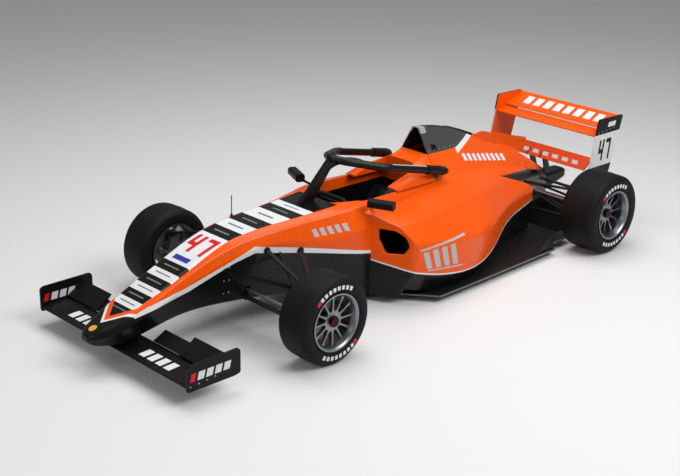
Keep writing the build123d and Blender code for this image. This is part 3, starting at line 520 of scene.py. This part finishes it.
# Halo: a welded hoop of tube in a matt black fairing, bolted to the tub at three points.
# A pale strip runs along the top of each arm.
halo_black = carbon_finish("halo_black", (0.005, 0.005, 0.005), 0.3, specular=0.22)
dress(halo_black, "halo", "radio_antenna")
halo_skin = surface("halo")
arm_strips = bmesh.new()
STRIP_FRONT, STRIP_REAR = (0.008, 0.2381), (-0.303, 0.2524)
STRIP_HALF, STRIP_CELL = 0.011, 0.004
strip_ends = [(STRIP_FRONT, -1), (STRIP_FRONT, 1), (STRIP_REAR, 1), (STRIP_REAR, -1)]
for sign in (1, -1):
    spots = [(x, sign * (y + way * STRIP_HALF)) for (x, y), way in strip_ends]
    lay_down(arm_strips, halo_skin, spots, cell=STRIP_CELL)
piece("halo_arm_strips", arm_strips, "chassis", "matte_black", vinyl_silver)


# Each arm ends in a tapered moulded cap pushed over its sleeve.
def turned(sheet, start, axis, rings, slot=0, sides=28):
    turn = Vector((0, 0, 1)).rotation_difference(Vector(axis))
    loops = []
    for along, radius in rings:
        angles = [2 * pi * k / sides for k in range(sides)]
        ring = [Vector((radius * cos(angle), radius * sin(angle), along)) for angle in angles]
        loops.append([sheet.verts.new(Vector(start) + turn @ spot) for spot in ring])
    for low, high in zip(loops, loops[1:]):
        for k in range(sides):
            n = (k + 1) % sides
            face = sheet.faces.new([low[k], low[n], high[n], high[k]])
            face.material_index = slot
            face.smooth = True
    for loop in (loops[0][::-1], loops[-1]):
        sheet.faces.new(loop).material_index = slot


ARM_END = Vector((station(1508), 0.258, 0.728))
ARM_TILT, ARM_TOE = radians(12.6), 0.022 / 0.490
CAP_RINGS = [(0.006, 0.0325), (0.024, 0.0325), (0.046, 0.0300), (0.066, 0.0245)]
CAP_RINGS += [(0.080, 0.0170), (0.088, 0.0080), (0.090, 0.0015)]
end_caps = bmesh.new()
for sign in (1, -1):
    aft = Vector((-cos(ARM_TILT), sign * ARM_TOE, -sin(ARM_TILT))).normalized()
    turned(end_caps, (ARM_END.x, sign * ARM_END.y, ARM_END.z), aft, CAP_RINGS)
piece("halo_end_caps", end_caps, "chassis", "matte_black", halo_black)

# Floor, diffuser, crash structure, mirror housings and front wing: satin twill carbon,
# moulded and trimmed, then bolted on. A paler grey band along the floor's edge is a painted highlight.
carbon = carbon_finish("satin_carbon", (0.0045, 0.0045, 0.0048), 0.4, threads=260)
dress(carbon, "diffuser", "crash_structure", "mirror_housings")
dress(carbon, "front_wing_mainplane", "front_wing_flaps", "front_wing_endplates")
FLOOR_EDGE = [(806, 0.20), (830, 0.285), (1140, 0.655), (1580, 0.648)]
FLOOR_EDGE += [(2400, 0.618), (2425, 0.545), (2690, 0.52)]
FLOOR_RIM = 0.007
FLOOR_GREY, EDGE_HIGHLIGHT_GREY = (0.007, 0.007, 0.0072), (0.12, 0.12, 0.12)


def floor_finish():
    material, tree, shader = finish("floor_carbon", FLOOR_GREY, 0.34, specular=0.25)
    where, (x, y, _) = place_on(tree)
    outline = edge_line(tree, x, [(station(s), half) for s, half in FLOOR_EDGE])
    # The paler grey band along the floor's outline is a painted highlight.
    rim = above(tree, calc(tree, "ABSOLUTE", y), calc(tree, "SUBTRACT", outline, FLOOR_RIM))
    colour = blend_colour(tree, rim, FLOOR_GREY, EDGE_HIGHLIGHT_GREY)
    mottle(tree, where, shader, colour, grain=18, depth=0.00006, shade=0.2)
    return material


dress(floor_finish(), "floor")

# Front wing graphics: cut vinyl bars pressed onto both faces of each end plate and onto the plane,
# white except for one small red block at the front of each plate.
wing_sheet = bmesh.new()
plate_skin = surface("front_wing_endplates")
plane_skin = surface("front_wing_mainplane")
PLATE_Y, PLATE_THROW = 0.711, 0.2
PLATE_BAR_LOW, PLATE_BAR_HIGH, PLATE_BAR_LEAN = 0.150, 0.198, 0.012
PLATE_BARS = [(2.035, 2.003, RED), (1.985, 1.940, WHITE), (1.925, 1.880, WHITE)]
PLATE_BARS += [(1.865, 1.820, WHITE), (1.805, 1.760, WHITE)]
PLANE_BARS, PLANE_BAR_Y, PLANE_BAR_STEP, PLANE_BAR_HALF = 4, 0.24, 0.075, 0.026
PLANE_BAR_FRONT, PLANE_BAR_REAR = 2.005, 1.925
for sign in (1, -1):
    for throw in (-sign, sign):
        from_y = sign * PLATE_Y - throw * PLATE_THROW
        for front, rear, slot in PLATE_BARS:
            foot = [(front, from_y, PLATE_BAR_LOW), (rear, from_y, PLATE_BAR_LOW)]
            head = [(x - PLATE_BAR_LEAN, from_y, PLATE_BAR_HIGH) for x in (rear, front)]
            lay(wing_sheet, plate_skin, foot + head, (0, throw, 0), slot)
    for k in range(PLANE_BARS):
        middle = sign * (PLANE_BAR_Y + PLANE_BAR_STEP * k)
        low, high = middle - PLANE_BAR_HALF, middle + PLANE_BAR_HALF
        front, rear = PLANE_BAR_FRONT, PLANE_BAR_REAR
        lay_down(wing_sheet, plane_skin, [(front, low), (front, high), (rear, high), (rear, low)])
piece("front_wing_graphics", wing_sheet, "chassis", "black_carbon", vinyl_white, vinyl_black, vinyl_red)

# Rear wing: moulded carbon planes screwed between two plates, with a red beam low down on two posts.
# The planes and the plates' inner faces are orange. Outside, each plate is black with a white field
# for the number, which is cut vinyl, as the bars are.
FIELD_FOOT, FIELD_HEAD = 0.505, 0.745
PLATE_INNER = 0.4665


def plate_pattern(tree, x, y, z):
    field = where_all(tree, below(tree, z, FIELD_HEAD), above(tree, z, FIELD_FOOT))
    inner = below(tree, calc(tree, "ABSOLUTE", y), PLATE_INNER)
    return blend_colour(tree, inner, blend_colour(tree, field, CARBON, PALE), ORANGE)


dress(painted("wing_plate_paint", CARBON, 0.34, 0.03, plate_pattern), "rear_wing_endplates")
dress(painted("wing_plane_paint", ORANGE, 0.3), "rear_wing_mainplane", "rear_wing_flap")
BEAM_RED = (0.56, 0.045, 0.003)
POST_INNER, POST_OUTER, POST_TOP = 0.054, 0.066, 0.548


def beam_pattern(tree, x, y, z):
    side = calc(tree, "ABSOLUTE", y)
    across = where_all(tree, above(tree, side, POST_INNER), below(tree, side, POST_OUTER))
    return blend_colour(tree, where_all(tree, across, below(tree, z, POST_TOP)), BEAM_RED, CARBON)


dress(painted("wing_beam_paint", BEAM_RED, pattern=beam_pattern), "rear_wing_beam")
rear_sheet = bmesh.new()
rear_plate = surface("rear_wing_endplates")
DIGIT_RUN, DIGIT_RISE, DIGIT_LEAN = 0.062, 0.098, 0.2
DIGIT_FOOT, FIRST_DIGIT_X = 0.545, {1: -1.930, -1: -2.095}
PLATE_TOP_BAR = [(-2.03, 0.79), (-2.12, 0.79), (-2.13, 0.825), (-2.04, 0.825)]
for sign in (1, -1):
    number_at = (FIRST_DIGIT_X[sign], sign * BEYOND_SIDES, DIGIT_FOOT)
    number_run, number_rise = (-sign * DIGIT_RUN, 0, 0), (0, 0, DIGIT_RISE)
    lean = sign * DIGIT_LEAN
    number(rear_sheet, rear_plate, NUMBER, number_at, number_run, number_rise, (0, -sign, 0), BLACK, lean)
    lay_side(rear_sheet, rear_plate, PLATE_TOP_BAR, sign, WHITE)
# Rows of bars across the flap and the beam. Columns: rear x, its reach to each side, front x, its reach.
FLAP_BAR = (-2.175, (-0.032, 0.030), -2.075, (-0.020, 0.042))
BEAM_BAR = (-1.838, (-0.030, 0.022), -1.815, (-0.022, 0.030))
SILVER = 2


def cross_row(tree, count, first_y, step, bar, slot):
    rear, (rear_low, rear_high), front, (front_low, front_high) = bar
    outline = [(rear, rear_low), (rear, rear_high), (front, front_high), (front, front_low)]
    for k in range(count):
        lay_down(rear_sheet, tree, [(x, first_y + step * k + y) for x, y in outline], slot)


flap_skin, beam_skin = surface("rear_wing_flap"), surface("rear_wing_beam")
cross_row(flap_skin, count=8, first_y=-0.33, step=0.094, bar=FLAP_BAR, slot=WHITE)
cross_row(beam_skin, count=9, first_y=-0.36, step=0.09, bar=BEAM_BAR, slot=SILVER)
piece("rear_wing_graphics", rear_sheet, "chassis", "orange_paint", vinyl_white, vinyl_black, vinyl_silver)

# Skid plank: a board of pressed wood laminate screwed under the floor.
# It wears along its length where it touches the road.
WOOD = (0.16, 0.10, 0.055)
plank, plank_tree, plank_shader = finish("plank_wood", WOOD, 0.7)
on_plank, _ = place_on(plank_tree)
mottle(plank_tree, on_plank, plank_shader, WOOD, grain=9, depth=0.0004, shade=0.3, detail=8)
dress(plank, "skid_plank")

# Suspension, steering and drive: black carbon struts, cast alloy uprights and gearbox,
# a turned steel column and rack, a dark cast engine and finned radiator cores, all bolted up.
METAL_DEPTH, METAL_SHADE = 0.00008, 0.12


def metal(name, colour, roughness, grain):
    material, tree, shader = finish(name, colour, roughness, metallic=1.0)
    where, _ = place_on(tree)
    mottle(tree, where, shader, colour, grain, METAL_DEPTH, METAL_SHADE)
    return material


arm_black = carbon_finish("arm_black", (0.006, 0.006, 0.0062), 0.4)
cast_alloy = metal("cast_alloy", (0.22, 0.22, 0.225), 0.5, 140)
hub_steel = metal("hub_steel", (0.30, 0.29, 0.28), 0.38, 90)
dress(arm_black, "front_wishbones", "front_pushrods", "rear_wishbones", "rear_pushrods")
dress(cast_alloy, "gearbox", "rear_uprights", "front_left_upright", "front_right_upright")
dress(hub_steel, "steering_column", "steering_rack")
dress(metal("engine_cast", (0.07, 0.07, 0.073), 0.55, 120), "engine_block")
dress(metal("radiator_core", (0.07, 0.07, 0.073), 0.5, 400), "radiators")

# Rear light and mirrors: a lens moulded in clear red plastic and fixed to the tail,
# and silvered glass bonded into each carbon housing.
LENS = (0.42, 0.01, 0.01)
lens, lens_tree, lens_shader = finish("red_lens", LENS, 0.15, coat=0.6)
on_lens, _ = place_on(lens_tree)
mottle(lens_tree, on_lens, lens_shader, LENS, grain=350, depth=0.0004, shade=0.2)
dress(lens, "rain_light")
dress(metal("mirror_face", (0.8, 0.8, 0.82), 0.08, 5), "mirror_glasses")

# Seat: a moulded composite bucket with sewn foam pads on its base and back.
# The pads are covered in dark knitted cloth with stitched channels across them.
dress(carbon_finish("seat_shell", (0.010, 0.010, 0.0105), 0.5, threads=200), "seat")


def cloth_finish(name, colour, threads):
    material, tree, shader = finish(name, colour, 0.85, specular=0.2)
    where, _ = place_on(tree)
    weave = woven(tree, where, colour, threads, dark=0.7, light=1.3)
    mottle(tree, where, shader, weave, grain=700, depth=0.0003, shade=0.3)
    return material


PAD_HALF, PINCH, CHANNEL_WIDTH, CHANNEL_DEPTH = 0.165, 0.04, 0.045, 0.45
SIDE_ROUND, END_ROUND = 5, 9
knit = cloth_finish("seat_cloth", (0.022, 0.022, 0.024), 420)


def pad(name, centre, along, out, half_length, thick, channels):
    across = Vector((0, 1, 0))
    wide, long = 28, 64
    sheet = bmesh.new()
    top, under = {}, {}
    for i in range(wide + 1):
        for j in range(long + 1):
            a, b = 2 * i / wide - 1, 2 * j / long - 1
            plan_a = a * PAD_HALF * (1 - PINCH * (1 - b * b))
            plan_b = b * half_length * (1 - PINCH * (1 - a * a))
            crown = ((1 - abs(a) ** SIDE_ROUND) * (1 - abs(b) ** END_ROUND)) ** 0.5
            sewn = sum(exp(-(((b - line) / CHANNEL_WIDTH) ** 2)) for line in channels)
            spot = centre + across * plan_a + along * plan_b
            edge = i in (0, wide) or j in (0, long)
            top[i, j] = sheet.verts.new(spot + out * thick * crown * (1 - CHANNEL_DEPTH * sewn))
            under[i, j] = top[i, j] if edge else sheet.verts.new(spot)
    for i in range(wide):
        for j in range(long):
            keys = [(i, j), (i + 1, j), (i + 1, j + 1), (i, j + 1)]
            sheet.faces.new([top[k] for k in keys]).smooth = True
            if len({under[k] for k in keys} & {top[k] for k in keys}) < 4:
                sheet.faces.new([under[k] for k in reversed(keys)]).smooth = True
    bmesh.ops.recalc_face_normals(sheet, faces=sheet.faces)
    cushion = piece(name, sheet, "chassis", "seat_fabric", knit)


BACK_FOOT, BACK_HEAD = Vector((station(1170), 0, 0.120)), Vector((station(1420), 0, 0.534))
back_up = (BACK_HEAD - BACK_FOOT).normalized()
back_out = Vector((back_up.z, 0, -back_up.x))
BACK_PAD_UP, BACK_PAD_HALF, BACK_PAD_THICK = 0.265, 0.195, 0.028
BACK_CHANNELS, BASE_CHANNELS = (-0.6, -0.2, 0.2, 0.6), (-0.35, 0.35)
back_centre = BACK_FOOT + back_up * BACK_PAD_UP
pad("seat_back_pad", back_centre, back_up, back_out, BACK_PAD_HALF, BACK_PAD_THICK, BACK_CHANNELS)
BASE_FRONT, BASE_REAR = Vector((station(938), 0, 0.1105)), Vector((station(1115), 0, 0.118))
base_along = (BASE_FRONT - BASE_REAR).normalized()
base_out = Vector((-base_along.z, 0, base_along.x))
BASE_PAD_HALF, BASE_PAD_THICK = 0.088, 0.024
base_centre = (BASE_FRONT + BASE_REAR) / 2
pad("seat_base_pad", base_centre, base_along, base_out, BASE_PAD_HALF, BASE_PAD_THICK, BASE_CHANNELS)

# Harness: woven straps 50 mm wide that lie over the pads and meet at a turned steel buckle.
# Two come over the shoulders, two from the hips and one up from the base.
STRAP_HALF, STRAP_THICK = 0.025, 0.0022
BUCKLE_UP, CLEAR_OF_SEAT = 0.135, 0.15
WEBBING, STEEL = 0, 1
SHOULDER = [(0.020, BUCKLE_UP), (0.060, 0.300), (0.080, 0.478)]
HIP = [(0.020, BUCKLE_UP), (0.100, 0.120), (0.176, 0.085)]
BETWEEN_LEGS = [(0, BUCKLE_UP), (0, 0.075)]
seat_skin = surface("seat", "seat_back_pad", "seat_base_pad")
harness = bmesh.new()


def strap(route):
    for start, end in zip(route, route[1:]):
        start, end = Vector(start), Vector(end)
        flat = Vector((start.y - end.y, end.x - start.x)).normalized() * STRAP_HALF
        corners = [start - flat, start + flat, end + flat, end - flat]
        plane = BACK_FOOT + back_out * CLEAR_OF_SEAT
        spots = [plane + back_up * v + Vector((0, y, 0)) for y, v in corners]
        lay(harness, seat_skin, spots, -back_out, WEBBING, lift=STRAP_THICK)


for sign in (1, -1):
    strap([(sign * y, v) for y, v in SHOULDER])
    strap([(sign * y, v) for y, v in HIP])
strap(BETWEEN_LEGS)
bmesh.ops.solidify(harness, geom=harness.faces[:], thickness=STRAP_THICK)
bmesh.ops.recalc_face_normals(harness, faces=harness.faces)
BUCKLE_RINGS = [(-0.004, 0.030), (0.008, 0.030), (0.012, 0.026), (0.012, 0.012), (0.015, 0.010)]
before_buckle = BACK_FOOT + back_up * BUCKLE_UP + back_out * CLEAR_OF_SEAT
turned(harness, seat_skin.ray_cast(before_buckle, -back_out)[0], back_out, BUCKLE_RINGS, STEEL)
webbing = cloth_finish("strap_webbing", (0.05, 0.05, 0.052), 520)
piece("harness", harness, "chassis", "seat_fabric", webbing, hub_steel)

# Steering wheel: a carbon plate with moulded rubber grips, pinned to the column.
# A small screen, round push buttons and turned dials are set into its face.
dress(carbon_finish("grip_rubber", (0.016, 0.016, 0.016), 0.6), "steering_wheel")
WHEEL_AT = Vector((station(800), 0, 0.565))
COLUMN_TILT = radians(20)
wheel_out = Vector((-cos(COLUMN_TILT), 0, sin(COLUMN_TILT)))
wheel_up = Vector((sin(COLUMN_TILT), 0, cos(COLUMN_TILT)))
wheel_left = Vector((0, 1, 0))
KNOB_FOOT, KNOB_SIDES = 0.0075, 14
KNOB_RINGS = [(0, 1), (0.8, 1), (1, 0.82)]
wheel_kit = bmesh.new()


def on_wheel(u, v, out):
    return wheel_kit.verts.new(WHEEL_AT + wheel_left * u + wheel_up * v + wheel_out * out)


def stack(rings, side_slot, top_slot):
    count = len(rings[0])
    for low, high in zip(rings, rings[1:]):
        for k in range(count):
            n = (k + 1) % count
            wheel_kit.faces.new([low[k], low[n], high[n], high[k]]).material_index = side_slot
    wheel_kit.faces.new(rings[-1]).material_index = top_slot
    wheel_kit.faces.new(rings[0][::-1]).material_index = side_slot


def knob(u, v, radius, height, slot):
    turns = [2 * pi * k / KNOB_SIDES for k in range(KNOB_SIDES)]
    rings = []
    for lift, share in KNOB_RINGS:
        reach, out = radius * share, KNOB_FOOT + height * lift
        rings.append([on_wheel(u + reach * cos(turn), v + reach * sin(turn), out) for turn in turns])
    stack(rings, slot, slot)


# Columns: distance from the middle, height, colour.
BUTTONS = [(0.080, 0.030, RED), (0.080, 0.006, BLUE), (0.060, 0.034, WHITE)]
BUTTONS += [(0.080, -0.018, GOLD), (0.062, -0.034, WHITE)]
BUTTON_RADIUS, BUTTON_HEIGHT, BUTTON_COLOURS = 0.0075, 0.006, 5
for u, v, slot in BUTTONS:
    knob(u, v, BUTTON_RADIUS, BUTTON_HEIGHT, slot)
    knob(-u, v, BUTTON_RADIUS, BUTTON_HEIGHT, (slot + 2) % BUTTON_COLOURS)
DIAL_V, DIAL_RADIUS, DIAL_HEIGHT = -0.031, 0.011, 0.012
for u in (-0.03, 0, 0.03):
    knob(u, DIAL_V, DIAL_RADIUS, DIAL_HEIGHT, BLACK)
SCREEN = [(-0.044, -0.012), (0.044, -0.012), (0.044, 0.036), (-0.044, 0.036)]
SCREEN_FACE, SCREEN_SHARE, SCREEN_SHIFT, SCREEN_GLASS = 0.0115, 0.95, 0.0006, 5
screen_foot = [on_wheel(u, v, KNOB_FOOT) for u, v in SCREEN]
screen_face = [on_wheel(u * SCREEN_SHARE, v * SCREEN_SHARE + SCREEN_SHIFT, SCREEN_FACE) for u, v in SCREEN]
stack([screen_foot, screen_face], BLACK, SCREEN_GLASS)
bmesh.ops.recalc_face_normals(wheel_kit, faces=wheel_kit.faces)
screen_glass = painted("screen_glass", (0.012, 0.02, 0.03), 0.12, 0.4)
wheel_colours = (vinyl_white, vinyl_black, vinyl_red, vinyl_blue, vinyl_gold, screen_glass)
piece("wheel_controls", wheel_kit, "steering_wheel", "matte_black", *wheel_colours)

# Wheels: satin grey cast rims held on steel hubs by a dark red centre nut, with slick rubber tyres.
# Each outer wall has two rows of printed white dashes led by a red block.
rim_grey = metal("rim_grey", (0.25, 0.26, 0.28), 0.34, 50)
RUBBER = (0.0045, 0.0045, 0.0045)


def rubber_finish():
    material, tree, shader = finish("tyre_rubber", RUBBER, 0.6, specular=0.16)
    where, _ = place_on(tree)
    mottle(tree, where, shader, RUBBER, grain=180, depth=0.0002, shade=0.25)
    return material


HUB_GREY, NUT_RED, NUT_FOOT = (0.26, 0.25, 0.245), (0.055, 0.010, 0.010), 0.776


def hub_finish():
    material, tree, shader = finish("hub_paint", HUB_GREY, 0.38, metallic=1.0)
    where, (_, y, _) = place_on(tree)
    nut = above(tree, calc(tree, "ABSOLUTE", y), NUT_FOOT)
    colour = blend_colour(tree, nut, HUB_GREY, NUT_RED)
    mottle(tree, where, shader, colour, 90, METAL_DEPTH, METAL_SHADE)
    return material


tyre_rubber, hub_paint = rubber_finish(), hub_finish()
WHEELS = {"front": (station(0), 0.27), "rear": (station(2750), 0.2875)}
MARK_INNER, MARK_OUTER, BEYOND_TYRES = 0.203, 0.228, 1.2
MARK_STARTS = (radians(128), radians(308))
DASHES, DASH_STEP, DASH_FILL, BLOCK_FILL = 8, radians(9), 0.62, 0.85
DASH, BLOCK, MARK_CELL = 0, 1, 0.008


def tyre_mark(sheet, wall, axle, sign, first, last, slot):
    axle_x, axle_z = axle
    corners = []
    for turn, radius in ((first, MARK_INNER), (last, MARK_INNER), (last, MARK_OUTER), (first, MARK_OUTER)):
        x, z = axle_x - sign * radius * cos(turn), axle_z + radius * sin(turn)
        corners.append((x, sign * BEYOND_TYRES, z))
    lay(sheet, wall, corners, (0, -sign, 0), slot, MARK_CELL)


for end, axle in WHEELS.items():
    for side, sign in (("left", 1), ("right", -1)):
        corner = f"{end}_{side}"
        dress(rim_grey, f"{corner}_rim")
        dress(tyre_rubber, f"{corner}_tyre")
        dress(hub_paint, f"{corner}_hub")
        wall = surface(f"{corner}_tyre")
        marks = bmesh.new()
        for begin in MARK_STARTS:
            block = begin + DASH_STEP
            tyre_mark(marks, wall, axle, sign, block, block - DASH_STEP * BLOCK_FILL, BLOCK)
            for k in range(DASHES):
                first = begin - DASH_STEP * k
                tyre_mark(marks, wall, axle, sign, first, first - DASH_STEP * DASH_FILL, DASH)
        piece(f"{corner}_tyre_marks", marks, f"{corner}_wheel", "tyre_rubber", vinyl_white, vinyl_red)

# Panel screws: small steel heads in rows along the seams of the nose, pods, cowl and wing plates.
# Each is turned from bar with a slight taper and driven square to the panel that it holds.
HEAD_SIDES, HEAD_TAPER = 12, 0.7
SCREW_RADIUS, SCREW_HEIGHT = 0.0055, 0.0016


def screw_rows(name, points, material, radius, height):
    cloud = bpy.data.meshes.new(name)
    cloud.from_pydata([p for p, _ in points], [], [])
    facing = cloud.attributes.new("facing", "FLOAT_VECTOR", "POINT")
    for spot, (_, normal) in zip(facing.data, points):
        spot.vector = normal
    holder = bpy.data.objects.new(name, cloud)
    bpy.context.collection.objects.link(holder)
    group = bpy.data.node_groups.new(name, "GeometryNodeTree")
    group.interface.new_socket("Points", in_out="INPUT", socket_type="NodeSocketGeometry")
    wide = group.interface.new_socket("Head radius", in_out="INPUT", socket_type="NodeSocketFloat")
    tall = group.interface.new_socket("Head height", in_out="INPUT", socket_type="NodeSocketFloat")
    group.interface.new_socket("Heads", in_out="OUTPUT", socket_type="NodeSocketGeometry")
    entry = group.nodes.new("NodeGroupInput")
    exit_node = group.nodes.new("NodeGroupOutput")
    head = group.nodes.new("GeometryNodeMeshCone")
    head.inputs["Vertices"].default_value = HEAD_SIDES
    normal = group.nodes.new("GeometryNodeInputNamedAttribute")
    normal.data_type = "FLOAT_VECTOR"
    normal.inputs["Name"].default_value = "facing"
    turn = group.nodes.new("FunctionNodeAlignRotationToVector")
    spread = group.nodes.new("GeometryNodeInstanceOnPoints")
    real = group.nodes.new("GeometryNodeRealizeInstances")
    paint = group.nodes.new("GeometryNodeSetMaterial")
    paint.inputs["Material"].default_value = material
    narrow = group.nodes.new("ShaderNodeMath")
    narrow.operation = "MULTIPLY"
    narrow.inputs[1].default_value = HEAD_TAPER
    join = group.links.new
    join(entry.outputs["Head radius"], head.inputs["Radius Bottom"])
    join(entry.outputs["Head radius"], narrow.inputs[0])
    join(narrow.outputs[0], head.inputs["Radius Top"])
    join(entry.outputs["Head height"], head.inputs["Depth"])
    join(normal.outputs["Attribute"], turn.inputs["Vector"])
    join(entry.outputs["Points"], spread.inputs["Points"])
    join(head.outputs["Mesh"], spread.inputs["Instance"])
    join(turn.outputs["Rotation"], spread.inputs["Rotation"])
    join(spread.outputs["Instances"], real.inputs["Geometry"])
    join(real.outputs["Geometry"], paint.inputs["Geometry"])
    join(paint.outputs["Geometry"], exit_node.inputs["Heads"])
    rows = holder.modifiers.new("rows", "NODES")
    rows.node_group = group
    rows[wide.identifier] = radius
    rows[tall.identifier] = height
    graph = bpy.context.evaluated_depsgraph_get()
    solid = bpy.data.meshes.new_from_object(holder.evaluated_get(graph))
    holder.modifiers.clear()
    holder.data = solid
    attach(holder, "chassis")


def row(tree, start, end, count, throw):
    found = []
    start, end, throw = Vector(start), Vector(end), Vector(throw)
    for k in range(count):
        hit, normal = tree.ray_cast(start.lerp(end, k / (count - 1)), throw)[:2]
        if hit is not None:
            found.append((hit, normal if normal.dot(throw) < 0 else -normal))
    return found


# Columns: skin, front end as (x, z), rear end, count.
SIDE_ROWS = [
    (hull_skin, (station(-268), 0.30), (station(-268), 0.54), 4),
    (hull_skin, (station(-232), 0.30), (station(-232), 0.54), 4),
    (cowl_skin, (station(1570), 0.815), (station(1850), 0.800), 6),
    (rear_plate, (-1.930, 0.756), (-2.110, 0.774), 5),
    (plate_skin, (2.03, 0.122), (1.86, 0.134), 4),
]
POD_ROW_FRONT_X, POD_ROW_REAR_X, POD_ROW_Y, POD_ROW_COUNT = station(880), station(1520), 0.268, 9
screw_points = []
for sign in (1, -1):
    pod_ends = [(x, sign * POD_ROW_Y, ABOVE_ALL) for x in (POD_ROW_FRONT_X, POD_ROW_REAR_X)]
    screw_points += row(pod_skins[sign], *pod_ends, POD_ROW_COUNT, DOWN)
    for skin, front, rear, count in SIDE_ROWS:
        ends = [(x, sign * BEYOND_SIDES, z) for x, z in (front, rear)]
        screw_points += row(skin, *ends, count, (0, -sign, 0))
screw_rows("panel_screws", screw_points, hub_steel, SCREW_RADIUS, SCREW_HEIGHT)

# Studio: a pale floor that carries the shadow, a plain grey surround and three soft lamps,
# the strongest of them above the car's left side.
FLOOR_REACH, SURROUND_GREY, SURROUND_STRENGTH = 40, 0.8, 0.34
floor_mesh = bpy.data.meshes.new("studio_floor")
floor_corners = [(x * FLOOR_REACH, y * FLOOR_REACH, 0) for x, y in ((-1, -1), (1, -1), (1, 1), (-1, 1))]
floor_mesh.from_pydata(floor_corners, [], [(0, 1, 2, 3)])
studio_floor = bpy.data.objects.new("studio_floor", floor_mesh)
bpy.context.collection.objects.link(studio_floor)
floor_mesh.materials.append(finish("studio_floor", (0.70, 0.70, 0.70), 0.5)[0])
world = bpy.data.worlds.new("studio")
bpy.context.scene.world = world
world.use_nodes = True
surround = world.node_tree.nodes["Background"]
surround.inputs["Color"].default_value = (SURROUND_GREY, SURROUND_GREY, SURROUND_GREY, 1)
surround.inputs["Strength"].default_value = SURROUND_STRENGTH


def softbox(name, place, target, size, power):
    lamp = bpy.data.lights.new(name, "AREA")
    lamp.shape = "RECTANGLE"
    lamp.size, lamp.size_y = size
    lamp.energy = power
    holder = bpy.data.objects.new(name, lamp)
    bpy.context.collection.objects.link(holder)
    holder.location = place
    holder.rotation_euler = (Vector(target) - Vector(place)).to_track_quat("-Z", "Y").to_euler()


softbox("key", (-0.8, 5.0, 5.8), (-0.4, 0, 0.4), (5, 3), 340)
softbox("top", (-0.5, -0.5, 6.0), (-0.3, 0, 0), (6, 4), 270)
softbox("front", (6.5, 1.0, 3.5), (0.6, 0, 0.4), (3, 2.5), 70)

# Camera: ahead of the left front corner and a little above it, with a slight roll,
# fitted to the outlines of the wheels in the photograph.
CAMERA_AT = Vector((5.93181952, 5.73153875, 3.38963904))
AZIMUTH, ELEVATION, ROLL = radians(135.1199), radians(20.7200), radians(1.78737)
FOCAL_SHARE = 1.93907
camera = bpy.data.objects.new("camera", bpy.data.cameras.new("camera"))
bpy.context.collection.objects.link(camera)
bpy.context.scene.camera = camera
back = Vector((sin(AZIMUTH) * cos(ELEVATION), -cos(AZIMUTH) * cos(ELEVATION), sin(ELEVATION)))
right = Vector((0, 0, 1)).cross(back).normalized()
up = back.cross(right)
rolled_right, rolled_up = right * cos(ROLL) + up * sin(ROLL), up * cos(ROLL) - right * sin(ROLL)
aim = Matrix((rolled_right, rolled_up, back)).transposed()
camera.matrix_world = Matrix.Translation(CAMERA_AT) @ aim.to_4x4()
camera.data.sensor_fit = "HORIZONTAL"
camera.data.sensor_width = 36
camera.data.lens = FOCAL_SHARE * camera.data.sensor_width
bpy.context.scene.view_settings.view_transform = "Standard"
